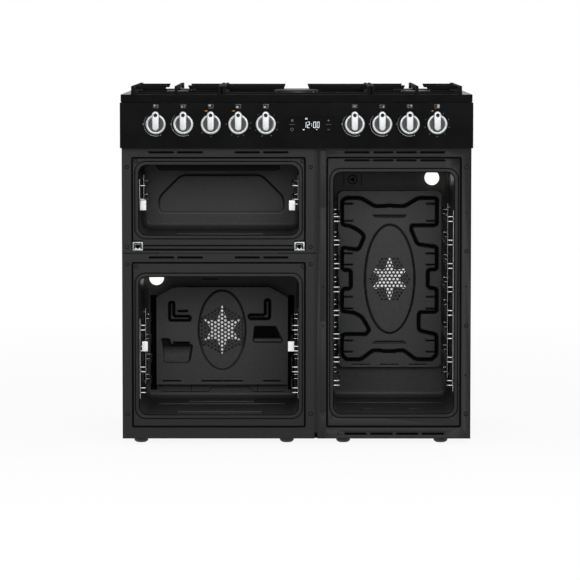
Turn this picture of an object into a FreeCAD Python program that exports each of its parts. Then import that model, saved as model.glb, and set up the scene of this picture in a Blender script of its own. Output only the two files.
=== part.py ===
"""A 90 cm dual-fuel range cooker with three open oven cavities, in millimetres.

The frame: +X to the right seen from the front, +Y to the rear, +Z up. The origin
lies on the floor, under the middle of the cooker's length, depth and width.
"""
import FreeCAD, Part
import math
import os
import re

import Sketcher

Vector = FreeCAD.Vector

# Every size that can be set by itself, in millimetres. Places follow from these.
DIMENSIONS = {
    # the whole cooker
    "cooker_width": 900.0,
    "cooker_depth": 600.0,
    "hob_height": 900.0,
    "knob_reach": 32.0,
    "body_inset": 3.0,
    "underside": 16.0,
    "panel_steel": 1.2,
    "panel_flange": 15.0,
    "rear_recess": 30.0,
    # the hob and the control fascia
    "skirt_height": 19.0,
    "hob_inset": 2.0,
    "hob_steel": 1.5,
    "hob_rim": 22.0,
    "hob_well": 4.0,
    "rear_rail_height": 4.0,
    "rear_rail_depth": 24.0,
    "seam_gap": 1.0,
    "fascia_height": 117.0,
    "fascia_steel": 1.5,
    "spindle_hole_radius": 6.5,
    "window_clearance": 51.0,
    "window_height": 40.0,
    "window_lip": 4.0,
    "glass_thickness": 2.0,
    "glass_clearance": 0.2,
    "timer_depth": 28.0,
    # the front frames round the oven mouths
    "door_space": 25.0,
    "frame_thickness": 5.5,
    "frame_sheet": 1.5,
    "recess_side": 10.0,
    "recess_corner": 6.0,
    "frame_gap": 8.0,
    "frame_split_x": 50.0,
    "frame_seam": 1.0,
    "post_width": 18.0,
    "post_depth": 26.0,
    "slot_height": 6.0,
    "slot_corner": 2.5,
    "slot_drop": 11.0,
    "slot_row_step": 20.5,
    "lower_slot_drop": 10.5,
    "foot_slot_rise": 12.5,
    "left_slot_inset": 34.5,
    "right_slot_inset": 36.0,
    "foot_slot_inset": 37.5,
    # the oven cavities
    "mouth_corner": 26.0,
    "seal_width": 8.0,
    "seal_height": 3.6,
    "liner_steel": 1.5,
    "liner_flange": 12.0,
    "liner_margin": 4.0,
    "mouth_outer_margin": 34.0,
    "mouth_inner_margin": 32.0,
    "left_sill": 52.0,
    "left_mouth_height": 373.5,
    "left_header": 51.8,
    "grill_sill": 37.7,
    "grill_header": 35.0,
    "right_sill": 54.5,
    "right_header": 53.0,
    "grill_recess_top": 12.5,
    "grill_recess_bottom": 31.0,
    "left_recess_top": 30.0,
    "left_recess_bottom": 24.0,
    "right_recess_top": 31.0,
    "right_recess_bottom": 26.0,
    "grill_depth": 316.0,
    "oven_depth": 419.0,
    "wool_set_back": 4.0,
    "wool_gap": 1.0,
    "wool_thickness": 16.0,
    # the fans behind the oven guards
    "guard_depth": 39.0,
    "guard_sheet": 1.5,
    "left_guard_width": 352.0,
    "left_guard_floor_gap": 42.0,
    "left_guard_roof_gap": 61.5,
    "guard_chamfer": 48.0,
    "guard_chamfer_drop": 27.0,
    "right_guard_width": 276.0,
    "right_guard_floor_gap": 87.5,
    "right_guard_roof_gap": 72.0,
    "guard_corner": 12.0,
    "left_fan_offset": 16.0,
    "right_fan_offset": 0.3,
    "left_oval_half_width": 63.5,
    "left_oval_half_height": 107.5,
    "right_oval_half_width": 67.0,
    "right_oval_half_height": 146.0,
    "oval_rise": 4.0,
    "hole_radius": 3.4,
    "hole_pitch": 10.4,
    "hole_field": 57.0,
    "impeller_radius": 72.0,
    "impeller_depth": 20.0,
    "impeller_gap": 6.0,
    "impeller_disc": 1.5,
    "blade_length": 26.0,
    "blade_inset": 0.5,
    "blade_sheet": 1.5,
    "blade_count": 12.0,
    "hub_radius": 11.0,
    "shaft_radius": 4.0,
    "running_clearance": 0.05,
    "shaft_hole_clearance": 2.0,
    "motor_radius": 38.0,
    "motor_length": 52.0,
    "motor_plate": 96.0,
    "motor_plate_sheet": 2.0,
    "element_radius": 3.3,
    "ring_radius": 92.0,
    "element_bend": 8.0,
    "element_leg_offset": 18.0,
    "element_leg_out": 18.0,
    "element_hole_clearance": 0.6,
    "element_plate_height": 20.0,
    "grill_bar_pitch": 62.0,
    "grill_bar_count": 6.0,
    "grill_element_drop": 16.0,
    "grill_element_front": 40.0,
    # lamps and racks
    "lamp_lens_radius": 21.0,
    "lamp_collar": 1.0,
    "lamp_lens_depth": 22.0,
    "lamp_glass": 2.5,
    "lamp_hole_radius": 14.0,
    "lamp_bulb_radius": 9.0,
    "lamp_holder_depth": 30.0,
    "left_lamp_inset": 33.0,
    "left_lamp_drop": 38.5,
    "right_lamp_inset": 46.0,
    "right_lamp_drop": 38.0,
    "rack_wire_radius": 2.0,
    "rack_stand_off": 5.0,
    "rack_reach": 22.0,
    "rack_bend": 6.0,
    "rack_front_inset": 34.0,
    "rack_length": 330.0,
    "grill_rack_length": 250.0,
    "rack_peg_inset": 10.0,
    "rack_overhang": 16.0,
    "rung_pair_gap": 12.0,
    "left_rung_pitch": 54.0,
    "left_rung_rise": 59.0,
    "left_rung_pairs": 4.0,
    "right_rung_pitch": 60.5,
    "right_rung_rise": 75.5,
    "right_rung_pairs": 8.0,
    "grill_rung_share": 0.44,
    "grill_top_rung_share": 0.69,
    # the grill door's hinge receivers
    "receiver_width": 26.0,
    "receiver_height": 22.0,
    "receiver_sheet": 3.0,
    "receiver_edge": 6.5,
    "receiver_drop": 8.5,
    "receiver_slot_width": 12.0,
    "receiver_slot_height": 9.0,
    # knobs, taps and oven controls
    "knob_drop": 55.2,
    "knob_pitch": 70.0,
    "knob_inset": 92.0,
    "knob_radius": 25.75,
    "knob_gap": 5.0,
    "knob_disc": 10.0,
    "grip_radius": 9.25,
    "heel_drop": 7.25,
    "grip_step": 1.0,
    "pointer_rise": 23.7,
    "spindle_radius": 3.0,
    "spindle_reach": 6.0,
    "knob_bore_depth": 11.0,
    "control_neck_radius": 9.0,
    "control_neck": 20.0,
    "control_width": 38.0,
    "control_height": 44.0,
    "control_depth": 32.0,
    "spindle_insert": 16.0,
    "tap_width": 24.0,
    "tap_height": 50.0,
    "tap_depth": 40.0,
    "rail_size": 14.0,
    "rail_wall": 2.0,
    "rail_inset": 33.8,
    "rail_set_back": 6.0,
    "inlet_pipe_radius": 7.0,
    "inlet_bore_radius": 5.5,
    "inlet_thread_radius": 10.48,
    "inlet_thread_length": 16.0,
    "inlet_hole_clearance": 1.5,
    # burners and pan supports
    "front_burner_inset": 108.0,
    "rear_burner_inset": 154.0,
    "small_burner_radius": 26.0,
    "medium_burner_radius": 36.0,
    "large_burner_radius": 46.0,
    "wok_burner_radius": 56.0,
    "crown_height": 7.0,
    "crown_wall": 6.0,
    "crown_roof": 2.5,
    "cap_height": 5.0,
    "cap_bevel": 2.0,
    "cap_overhang": 2.0,
    "burner_cup_depth": 30.0,
    "burner_cup_floor": 3.0,
    "throat_radius": 10.0,
    "burner_boss_inset": 8.0,
    "burner_hole_clearance": 1.0,
    "support_height": 21.0,
    "support_front_inset": 38.0,
    "support_rear_inset": 44.0,
    "support_side_inset": 27.0,
    "support_gap": 2.5,
    "centre_support_half": 190.0,
    "support_bar": 8.0,
    "low_bar_height": 9.0,
    "finger_height": 10.0,
    "finger_gap": 27.0,
    "wok_finger_gap": 29.0,
    "wok_cross_offset": 106.6,
    "finger_slant": 4.0,
    # the cooling fan, the feet and the mains terminal box
    "blower_width": 136.0,
    "blower_height": 130.0,
    "blower_depth": 76.0,
    "blower_wall": 5.0,
    "blower_drop": 9.0,
    "blower_inlet_radius": 36.0,
    "blower_rotor_radius": 50.0,
    "blower_rotor_gap": 5.0,
    "blower_rim": 12.0,
    "rotor_plate": 3.0,
    "rotor_shaft_grip": 4.0,
    "foot_radius": 18.0,
    "foot_sole_radius": 12.0,
    "foot_bevel": 4.0,
    "foot_pad_height": 10.0,
    "foot_stem_radius": 5.0,
    "foot_inset": 64.0,
    "box_width": 96.0,
    "box_height": 74.0,
    "box_depth": 26.0,
    "box_wall": 2.5,
    "box_inset": 75.0,
    "box_rise": 54.0,
    "gland_radius": 11.0,
    "gland_bore_radius": 6.0,
    "gland_length": 14.0,
    "louvre_width": 90.0,
    "louvre_spread": 360.0,
    "louvre_bottom": 450.0,
    "louvre_pitch": 16.0,
    "louvre_count": 5.0,
}

doc = FreeCAD.newDocument("RangeCooker")
sheet = doc.addObject("Spreadsheet::Sheet", "Dims")
for row, (alias, size) in enumerate(DIMENSIONS.items(), start=1):
    sheet.set(f"A{row}", alias)
    sheet.set(f"B{row}", str(size))
    sheet.setAlias(f"B{row}", alias)
doc.recompute()

WORD = re.compile(r"[a-z][a-z_]+")
subparts = []


def bound(text):
    """An expression with each dimension's name pointed at its cell in the sheet."""
    def cell(word):
        return f"Dims.{word.group()}" if word.group() in DIMENSIONS else word.group()
    return WORD.sub(cell, str(text))


def value(text):
    """What an expression comes to now, for first guesses and counts."""
    return float(sheet.evalExpression(bound(text)))


def keep(piece, label):
    """Name a finished sub-part, which is written out under its label."""
    piece.Label = label
    subparts.append(piece)
    return piece


# ---------------------------------------------------------------- solids from primitives

def box(name, x_span, y_span, z_span):
    """A block between two places along each axis."""
    piece = doc.addObject("Part::Box", name)
    for size, axis, (low, high) in zip(("Length", "Width", "Height"), "xyz", (x_span, y_span, z_span)):
        piece.setExpression(size, bound(f"({high}) - ({low})"))
        piece.setExpression(f".Placement.Base.{axis}", bound(low))
    return piece


ROD_TURNS = {
    "x": FreeCAD.Rotation(Vector(0, 1, 0), 90),
    "y": FreeCAD.Rotation(Vector(1, 0, 0), -90),
    "z": FreeCAD.Rotation(),
}


def place(piece, at):
    """Bind a piece's base point to three expressions."""
    for axis, where in zip("xyz", at):
        piece.setExpression(f".Placement.Base.{axis}", bound(where))


def rod(name, along, radius, start, length):
    """A round bar from its start point along one axis."""
    piece = doc.addObject("Part::Cylinder", name)
    piece.Placement = FreeCAD.Placement(Vector(), ROD_TURNS[along])
    piece.setExpression("Radius", bound(radius))
    piece.setExpression("Height", bound(length))
    place(piece, start)
    return piece


def cone(name, along, radii, start, length):
    """A tapered round bar from its start point along one axis."""
    piece = doc.addObject("Part::Cone", name)
    piece.Placement = FreeCAD.Placement(Vector(), ROD_TURNS[along])
    piece.setExpression("Radius1", bound(radii[0]))
    piece.setExpression("Radius2", bound(radii[1]))
    piece.setExpression("Height", bound(length))
    place(piece, start)
    return piece


def fuse(name, pieces):
    """One solid from several that overlap."""
    joined = doc.addObject("Part::MultiFuse", name)
    joined.Shapes = pieces
    joined.Refine = True
    return joined


def cut(name, base, tools):
    """A solid with others taken out of it."""
    result = doc.addObject("Part::Cut", name)
    result.Base = base
    result.Tool = tools[0] if len(tools) == 1 else group(f"{name}_tools", tools)
    return result


def group(name, pieces):
    """Several separate solids kept as one sub-part."""
    together = doc.addObject("Part::Compound", name)
    together.Links = pieces
    return together


# ---------------------------------------------------------------- sketches and features

# For each sketch plane: the sign between its normal and the axis that it crosses.
PLANE_SIGNS = {"XY": 1, "XZ": -1, "YZ": 1}


def sketch(body, name, plane, at):
    """A sketch on a body's own plane, moved to a place on the axis that crosses it."""
    drawing = body.newObject("Sketcher::SketchObject", name)
    support = next(item for item in body.Origin.OriginFeatures if item.Role == f"{plane}_Plane")
    drawing.AttachmentSupport = [(support, "")]
    drawing.MapMode = "FlatFace"
    sign = "-" if PLANE_SIGNS[plane] < 0 else ""
    drawing.setExpression("AttachmentOffset.Base.z", bound(f"{sign}({at})"))
    return drawing


def constrain(drawing, rules):
    """Add constraints in one go. A rule with an expression takes its size from it."""
    first = drawing.ConstraintCount
    drawing.addConstraint([Sketcher.Constraint(*rule) for rule, _ in rules])
    for number, (_, expression) in enumerate(rules, start=first):
        if expression is not None:
            drawing.setExpression(f"Constraints[{number}]", bound(expression))


def held(kind, geometry, point, where):
    """A rule that holds one coordinate of a point at an expression."""
    return ((kind, -1, 1, geometry, point, value(where)), where)


def sized(kind, geometry, size):
    """A rule that gives a circle, an arc or a line its size."""
    return ((kind, geometry, value(size)), size)


def outline(drawing, points):
    """A closed outline of straight lines through the points given."""
    places = [Vector(value(x), value(y), 0) for x, y in points]
    first = drawing.GeometryCount
    count = len(points)
    lines = [Part.LineSegment(start, places[(index + 1) % count]) for index, start in enumerate(places)]
    drawing.addGeometry(lines)
    rules = []
    for index, (x, y) in enumerate(points):
        rules.append((("Coincident", first + index, 2, first + (index + 1) % count, 1), None))
        rules.append(held("DistanceX", first + index, 1, x))
        rules.append(held("DistanceY", first + index, 1, y))
    constrain(drawing, rules)


def rectangle(drawing, x_span, y_span):
    """A plain rectangle."""
    corners = [(x_span[0], y_span[0]), (x_span[1], y_span[0]), (x_span[1], y_span[1]), (x_span[0], y_span[1])]
    outline(drawing, corners)


def rounded(drawing, x_span, y_span, radius):
    """A rectangle with equal round corners."""
    left, right = value(x_span[0]), value(x_span[1])
    low, high = value(y_span[0]), value(y_span[1])
    bend = value(radius)
    quarter = math.pi / 2
    first = drawing.GeometryCount
    ends = [
        ((left + bend, low), (right - bend, low)),
        ((right, low + bend), (right, high - bend)),
        ((right - bend, high), (left + bend, high)),
        ((left, high - bend), (left, low + bend)),
    ]
    centres = [
        (right - bend, low + bend),
        (right - bend, high - bend),
        (left + bend, high - bend),
        (left + bend, low + bend),
    ]
    shapes = [Part.LineSegment(Vector(*start, 0), Vector(*end, 0)) for start, end in ends]
    for index, centre in enumerate(centres):
        corner = Part.Circle(Vector(*centre, 0), Vector(0, 0, 1), bend)
        shapes.append(Part.ArcOfCircle(corner, (index - 1) * quarter, index * quarter))
    drawing.addGeometry(shapes)
    rules = []
    for index in range(4):
        line, corner, following = first + index, first + 4 + index, first + (index + 1) % 4
        rules.append((("Tangent", line, 2, corner, 1), None))
        rules.append((("Tangent", corner, 2, following, 1), None))
        rules.append(sized("Radius", corner, radius))
    for line, kind in enumerate(("Horizontal", "Vertical", "Horizontal", "Vertical")):
        rules.append(((kind, first + line), None))
    rules.append(held("DistanceY", first, 1, y_span[0]))
    rules.append(held("DistanceX", first + 1, 1, x_span[1]))
    rules.append(held("DistanceY", first + 2, 1, y_span[1]))
    rules.append(held("DistanceX", first + 3, 1, x_span[0]))
    constrain(drawing, rules)


def circle(drawing, x, y, radius):
    """A circle about a point."""
    number = drawing.addGeometry(Part.Circle(Vector(value(x), value(y), 0), Vector(0, 0, 1), value(radius)))
    middle = [held("DistanceX", number, 3, x), held("DistanceY", number, 3, y)]
    constrain(drawing, middle + [sized("Radius", number, radius)])


def pad(body, drawing, length, rearwards=False):
    """Material added over a sketch, along its normal or the other way."""
    feature = body.newObject("PartDesign::Pad", f"{drawing.Name}_pad")
    feature.Profile = drawing
    feature.setExpression("Length", bound(length))
    feature.Reversed = rearwards
    drawing.Visibility = False
    return feature


def pocket(body, drawing, depth, forwards=False):
    """Material taken away under a sketch, against its normal or the other way."""
    feature = body.newObject("PartDesign::Pocket", f"{drawing.Name}_pocket")
    feature.Profile = drawing
    feature.setExpression("Length", bound(depth))
    feature.Reversed = forwards
    drawing.Visibility = False
    return feature


def repeat(body, feature, drawing, axis, pitch, count):
    """Copies of a feature at an even pitch along one axis of its sketch."""
    pattern = body.newObject("PartDesign::LinearPattern", f"{feature.Name}_row")
    pattern.Originals = [feature]
    pattern.Direction = (drawing, [axis])
    pattern.setExpression("Length", bound(f"({count} - 1) * {pitch}"))
    pattern.setExpression("Occurrences", bound(count))
    body.Tip = pattern
    return pattern


def new_body(name):
    """A body that features are added to."""
    return doc.addObject("PartDesign::Body", name)


# ---------------------------------------------------------------- the main planes

FRONT_Y = "(0 - (cooker_depth + knob_reach) / 2)"
FASCIA_Y = f"({FRONT_Y} + knob_reach)"
FRAME_Y = f"({FASCIA_Y} + door_space)"
FRAME_BACK_Y = f"({FRAME_Y} + frame_thickness)"
REAR_Y = "((cooker_depth + knob_reach) / 2)"
COVER_Y = f"({REAR_Y} - rear_recess - panel_steel)"
SKIRT_Z = "(hob_height - skirt_height)"
WELL_Z = "(hob_height - hob_well)"
FASCIA_TOP = f"({SKIRT_Z} - seam_gap)"
FASCIA_BOTTOM = f"({FASCIA_TOP} - fascia_height)"
BODY_HALF = "(cooker_width / 2 - body_inset)"
INNER_HALF = f"({BODY_HALF} - panel_steel)"


# ---------------------------------------------------------------- the outer casing

def side_panel(label, side):
    """A side sheet with its front and rear edges folded inwards."""
    body = new_body(label)
    profile = sketch(body, f"{label}_fold", "XY", "underside")
    outer, inner, lip = BODY_HALF, INNER_HALF, f"({BODY_HALF} - panel_flange)"
    points = [
        (outer, FRAME_BACK_Y), (outer, REAR_Y), (lip, REAR_Y), (lip, f"{REAR_Y} - panel_steel"),
        (inner, f"{REAR_Y} - panel_steel"), (inner, f"{FRAME_BACK_Y} + panel_steel"),
        (lip, f"{FRAME_BACK_Y} + panel_steel"), (lip, FRAME_BACK_Y),
    ]
    outline(profile, [(f"{side} * {x}", y) for x, y in points])
    pad(body, profile, f"{SKIRT_Z} - underside")
    keep(body, label)


def rear_cover():
    """The back sheet, with louvres and holes for the gas pipe and the mains lead."""
    body = new_body("rear_cover")
    face = sketch(body, "rear_cover_face", "XZ", COVER_Y)
    rectangle(face, (f"0 - {INNER_HALF}", INNER_HALF), ("underside + panel_steel", SKIRT_Z))
    pad(body, face, "panel_steel", rearwards=True)
    inlet = sketch(body, "rear_cover_inlet", "XZ", COVER_Y)
    circle(inlet, PIPE_X, PIPE_Z, "inlet_pipe_radius + inlet_hole_clearance")
    pocket(body, inlet, "panel_steel")
    louvre = sketch(body, "rear_cover_louvre", "XZ", COVER_Y)
    for middle in ("0 - louvre_spread / 2", "louvre_spread / 2"):
        rounded(louvre, (f"{middle} - louvre_width / 2", f"{middle} + louvre_width / 2"),
                ("louvre_bottom", "louvre_bottom + slot_height"), "slot_corner")
    opening = pocket(body, louvre, "panel_steel")
    repeat(body, opening, louvre, "V_Axis", "louvre_pitch", "louvre_count")
    keep(body, "rear_cover")


def base_tray():
    """The floor sheet, with its front edge turned up."""
    body = new_body("base_tray")
    profile = sketch(body, "base_tray_fold", "YZ", f"0 - {INNER_HALF}")
    front = f"({FRAME_BACK_Y} + panel_steel)"
    outline(profile, [
        (front, "underside"), (COVER_Y, "underside"), (COVER_Y, "underside + panel_steel"),
        (f"{front} + panel_steel", "underside + panel_steel"),
        (f"{front} + panel_steel", "underside + panel_flange"), (front, "underside + panel_flange"),
    ])
    pad(body, profile, f"2 * {INNER_HALF}")
    keep(body, "base_tray")


# The feet stand under the two oven columns. The rear foot beside the split stands
# under the middle of the cooker.
OUTER_LEFT_FOOT = f"(0 - {BODY_HALF} + 45)"
OUTER_RIGHT_FOOT = f"({BODY_HALF} - 74)"
INNER_RIGHT_FOOT = "(frame_split_x + 71)"
FEET_X = {
    "front": (OUTER_LEFT_FOOT, "(frame_split_x - 75)", INNER_RIGHT_FOOT, OUTER_RIGHT_FOOT),
    "rear": (OUTER_LEFT_FOOT, "(frame_split_x - 45)", INNER_RIGHT_FOOT, OUTER_RIGHT_FOOT),
}
FEET_Y = {"front": f"({FRAME_Y} + foot_inset)", "rear": f"({COVER_Y} - foot_inset)"}


def levelling_feet():
    """Eight plastic feet with a bevelled sole, each on a steel stem."""
    feet = []
    for row, places in FEET_X.items():
        for index, x in enumerate(places):
            name = f"foot_{row}_{index}"
            y = FEET_Y[row]
            sole = cone(f"{name}_sole", "z", ("foot_sole_radius", "foot_radius"), (x, y, "0"), "foot_bevel")
            disc = rod(f"{name}_disc", "z", "foot_radius", (x, y, "foot_bevel"),
                       "foot_pad_height - foot_bevel")
            stem = rod(f"{name}_stem", "z", "foot_stem_radius", (x, y, "foot_pad_height - 1"),
                       "underside - foot_pad_height + 1")
            feet.append(fuse(name, [sole, disc, stem]))
    keep(group("feet", feet), "levelling_feet")


def centre_post():
    """The channel between the two oven columns, seen through the gap between the frames."""
    body = new_body("centre_post")
    profile = sketch(body, "centre_post_fold", "XY", "underside + panel_flange")
    left, right = "(frame_split_x - post_width / 2)", "(frame_split_x + post_width / 2)"
    back = f"({FRAME_BACK_Y} + post_depth)"
    outline(profile, [
        (left, FRAME_BACK_Y), (right, FRAME_BACK_Y), (right, back), (f"{right} - panel_steel", back),
        (f"{right} - panel_steel", f"{FRAME_BACK_Y} + panel_steel"),
        (f"{left} + panel_steel", f"{FRAME_BACK_Y} + panel_steel"),
        (f"{left} + panel_steel", back), (left, back),
    ])
    pad(body, profile, f"{FASCIA_BOTTOM} - underside - panel_flange")
    keep(body, "centre_post")


# ---------------------------------------------------------------- the front frames

COLUMN_LEFT = (f"0 - {BODY_HALF}", "frame_split_x - frame_gap / 2")
COLUMN_RIGHT = ("frame_split_x + frame_gap / 2", BODY_HALF)
LEFT_MOUTH = (f"({COLUMN_LEFT[0]} + mouth_outer_margin)", f"({COLUMN_LEFT[1]} - mouth_inner_margin)")
RIGHT_MOUTH = (f"({COLUMN_RIGHT[0]} + mouth_inner_margin)", f"({COLUMN_RIGHT[1]} - mouth_outer_margin)")
LEFT_MOUTH_Z = ("(underside + left_sill)", "(underside + left_sill + left_mouth_height)")
SPLIT_Z = f"({LEFT_MOUTH_Z[1]} + left_header)"
GRILL_MOUTH_Z = (f"({SPLIT_Z} + grill_sill)", f"({FASCIA_BOTTOM} - grill_header)")
RIGHT_MOUTH_Z = ("(underside + right_sill)", f"({FASCIA_BOTTOM} - right_header)")

# Each oven: its column, its mouth, its frame's height and its cavity's depth.
OVENS = {
    "grill": {
        "column": COLUMN_LEFT, "mouth_x": LEFT_MOUTH, "mouth_z": GRILL_MOUTH_Z,
        "frame_z": (f"{SPLIT_Z} + frame_seam / 2", FASCIA_BOTTOM), "depth": "grill_depth",
    },
    "left": {
        "column": COLUMN_LEFT, "mouth_x": LEFT_MOUTH, "mouth_z": LEFT_MOUTH_Z,
        "frame_z": ("underside", f"{SPLIT_Z} - frame_seam / 2"), "depth": "oven_depth",
    },
    "right": {
        "column": COLUMN_RIGHT, "mouth_x": RIGHT_MOUTH, "mouth_z": RIGHT_MOUTH_Z,
        "frame_z": ("underside", FASCIA_BOTTOM), "depth": "oven_depth",
    },
}


def grown(span, by):
    """A span made longer at both ends."""
    return (f"({span[0]}) - ({by})", f"({span[1]}) + ({by})")


def spaced(first, widths, gaps, z):
    """Slots in a row: each one's ends along X, and its middle height."""
    slots = []
    start = 0
    for width, gap in zip(widths, gaps):
        slots.append((f"{first} + {start}", f"{first} + {start + width}", z))
        start += width + gap
    return slots


TOP_SLOT_Z = f"({FASCIA_BOTTOM} - slot_drop)"
SECOND_SLOT_Z = f"({TOP_SLOT_Z} - slot_row_step)"
LOWER_SLOT_Z = f"({SPLIT_Z} - lower_slot_drop)"
FOOT_SLOT_Z = "(underside + foot_slot_rise)"
# The widths of a row's slots, and the gap that follows each.
LEFT_SLOT_ROW = ((65, 66, 65, 65), (8, 81, 8, 0))
RIGHT_SLOT_ROW = ((65, 52, 52, 64), (9, 7, 9, 0))
FOOT_SLOT_ROW = ((57, 58, 58, 58), (9, 8, 8, 0))
FRAME_SLOTS = {
    "grill": [spaced(f"{LEFT_MOUTH[0]} + left_slot_inset", *LEFT_SLOT_ROW, TOP_SLOT_Z)],
    "left": [spaced(f"{LEFT_MOUTH[0]} + left_slot_inset", *LEFT_SLOT_ROW, LOWER_SLOT_Z)],
    "right": [
        spaced(f"{RIGHT_MOUTH[0]} + right_slot_inset", *RIGHT_SLOT_ROW, TOP_SLOT_Z),
        spaced(f"{RIGHT_MOUTH[0]} + right_slot_inset", *RIGHT_SLOT_ROW, SECOND_SLOT_Z),
        spaced(f"{RIGHT_MOUTH[0]} + foot_slot_inset", *FOOT_SLOT_ROW, FOOT_SLOT_Z),
    ],
}
RECEIVER_STARTS = {
    "left": f"({LEFT_MOUTH[0]} - receiver_edge)",
    "right": f"({LEFT_MOUTH[1]} + receiver_edge - receiver_width)",
}
RECEIVER_Z = f"({GRILL_MOUTH_Z[0]} - receiver_drop - receiver_height)"


def receiver_slot(side):
    """The ends of one hinge receiver's slot, along X and along Z."""
    x = f"({RECEIVER_STARTS[side]} + (receiver_width - receiver_slot_width) / 2)"
    z = f"({RECEIVER_Z} + (receiver_height - receiver_slot_height) / 2)"
    return (x, f"{x} + receiver_slot_width"), (z, f"{z} + receiver_slot_height")


def front_frame(oven):
    """The pressed steel frame round one mouth: thick stiles, a sunk face and vent slots."""
    facts = OVENS[oven]
    label = f"front_frame_{oven}"
    body = new_body(label)
    face = sketch(body, f"{label}_face", "XZ", FRAME_Y)
    rectangle(face, facts["column"], facts["frame_z"])
    pad(body, face, "frame_thickness", rearwards=True)
    sunk = sketch(body, f"{label}_sunk", "XZ", FRAME_Y)
    recess_x = grown(facts["mouth_x"], "recess_side")
    recess_z = (f"{facts['mouth_z'][0]} - {oven}_recess_bottom", f"{facts['mouth_z'][1]} + {oven}_recess_top")
    rounded(sunk, recess_x, recess_z, "recess_corner")
    pocket(body, sunk, "frame_thickness - frame_sheet")
    mouth = sketch(body, f"{label}_mouth", "XZ", FRAME_Y)
    inner_x = grown(facts["mouth_x"], "0 - seal_width")
    inner_z = grown(facts["mouth_z"], "0 - seal_width")
    rounded(mouth, inner_x, inner_z, "mouth_corner - seal_width / 2")
    pocket(body, mouth, "frame_thickness")
    for row, slots in enumerate(FRAME_SLOTS[oven]):
        vents = sketch(body, f"{label}_vents_{row}", "XZ", FRAME_Y)
        for start, end, middle in slots:
            z_span = (f"{middle} - slot_height / 2", f"{middle} + slot_height / 2")
            rounded(vents, (start, end), z_span, "slot_corner")
        pocket(body, vents, "frame_thickness")
    if oven == "grill":
        hooks = sketch(body, f"{label}_hooks", "XZ", FRAME_Y)
        for side in RECEIVER_STARTS:
            rounded(hooks, *receiver_slot(side), "slot_corner")
        pocket(body, hooks, "frame_thickness")
    keep(body, label)


def mouth_seals():
    """The heat-proof seals round the three mouths, each a closed loop on the sunk face."""
    seals = []
    for oven, facts in OVENS.items():
        body = new_body(f"seal_{oven}")
        ring = sketch(body, f"seal_{oven}_ring", "XZ", f"{FRAME_Y} + frame_thickness - frame_sheet")
        rounded(ring, facts["mouth_x"], facts["mouth_z"], "mouth_corner")
        inner_x = grown(facts["mouth_x"], "0 - seal_width")
        inner_z = grown(facts["mouth_z"], "0 - seal_width")
        rounded(ring, inner_x, inner_z, "mouth_corner - seal_width / 2")
        pad(body, ring, "seal_height")
        seals.append(body)
    keep(group("seals", seals), "mouth_seals")


# ---------------------------------------------------------------- the oven liners

LINER_BACK = {name: f"({FRAME_BACK_Y} + {facts['depth']})" for name, facts in OVENS.items()}
CAVITY_X = {name: grown(facts["mouth_x"], "0 - seal_width + liner_margin") for name, facts in OVENS.items()}
CAVITY_Z = {name: grown(facts["mouth_z"], "0 - seal_width + liner_margin") for name, facts in OVENS.items()}
LEFT_MIDDLE = f"(({LEFT_MOUTH[0]} + {LEFT_MOUTH[1]}) / 2)"
RIGHT_MIDDLE = f"(({RIGHT_MOUTH[0]} + {RIGHT_MOUTH[1]}) / 2)"
FAN_X = {"left": LEFT_MIDDLE, "right": RIGHT_MIDDLE}
GUARD_Z = {oven: (f"({CAVITY_Z[oven][0]} + {oven}_guard_floor_gap)",
                  f"({CAVITY_Z[oven][1]} - {oven}_guard_roof_gap)") for oven in FAN_X}
FAN_Z = {oven: f"(({low} + {high}) / 2 + {oven}_fan_offset)" for oven, (low, high) in GUARD_Z.items()}
LAMPS = {
    "left": (f"({CAVITY_X['left'][0]} + left_lamp_inset)", f"({CAVITY_Z['left'][1]} - left_lamp_drop)"),
    "right": (f"({CAVITY_X['right'][1]} - right_lamp_inset)", f"({CAVITY_Z['right'][1]} - right_lamp_drop)"),
}
# How far below a fan's middle its heating ring's two legs pass through the wall.
ELEMENT_DROP = "sqrt(ring_radius ^ 2 + element_bend ^ 2 - element_leg_offset ^ 2)"
GRILL_LEG_Z = f"({CAVITY_Z['grill'][1]} - grill_element_drop)"
GRILL_LEGS = (f"{LEFT_MIDDLE} - (grill_bar_count - 1) / 2 * grill_bar_pitch",
              f"{LEFT_MIDDLE} + (grill_bar_count - 1) / 2 * grill_bar_pitch")


def oven_liner(oven):
    """One enamelled cavity: a deep box with a flange that screws behind the frame."""
    label = f"{oven}_liner"
    body = new_body(label)
    outer = sketch(body, f"{label}_outer", "XZ", FRAME_BACK_Y)
    rounded(outer, grown(CAVITY_X[oven], "liner_steel"), grown(CAVITY_Z[oven], "liner_steel"),
            "mouth_corner + liner_steel")
    pad(body, outer, f"{LINER_BACK[oven]} + liner_steel - {FRAME_BACK_Y}", rearwards=True)
    flange = sketch(body, f"{label}_flange", "XZ", FRAME_BACK_Y)
    rounded(flange, grown(CAVITY_X[oven], "liner_flange"), grown(CAVITY_Z[oven], "liner_flange"),
            "mouth_corner + liner_steel")
    pad(body, flange, "liner_steel", rearwards=True)
    hollow = sketch(body, f"{label}_hollow", "XZ", FRAME_BACK_Y)
    rounded(hollow, CAVITY_X[oven], CAVITY_Z[oven], "mouth_corner")
    pocket(body, hollow, f"{LINER_BACK[oven]} - {FRAME_BACK_Y}")
    holes = sketch(body, f"{label}_holes", "XZ", LINER_BACK[oven])
    wire = "element_radius + element_hole_clearance"
    if oven == "grill":
        for x in GRILL_LEGS:
            circle(holes, x, GRILL_LEG_Z, wire)
    else:
        circle(holes, FAN_X[oven], FAN_Z[oven], "shaft_radius + shaft_hole_clearance")
        circle(holes, *LAMPS[oven], "lamp_hole_radius")
        leg_z = f"{FAN_Z[oven]} - {ELEMENT_DROP}"
        for side in ("-1", "1"):
            circle(holes, f"{FAN_X[oven]} + {side} * element_leg_offset", leg_z, wire)
    pocket(body, holes, "liner_steel")
    keep(body, label)


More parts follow.
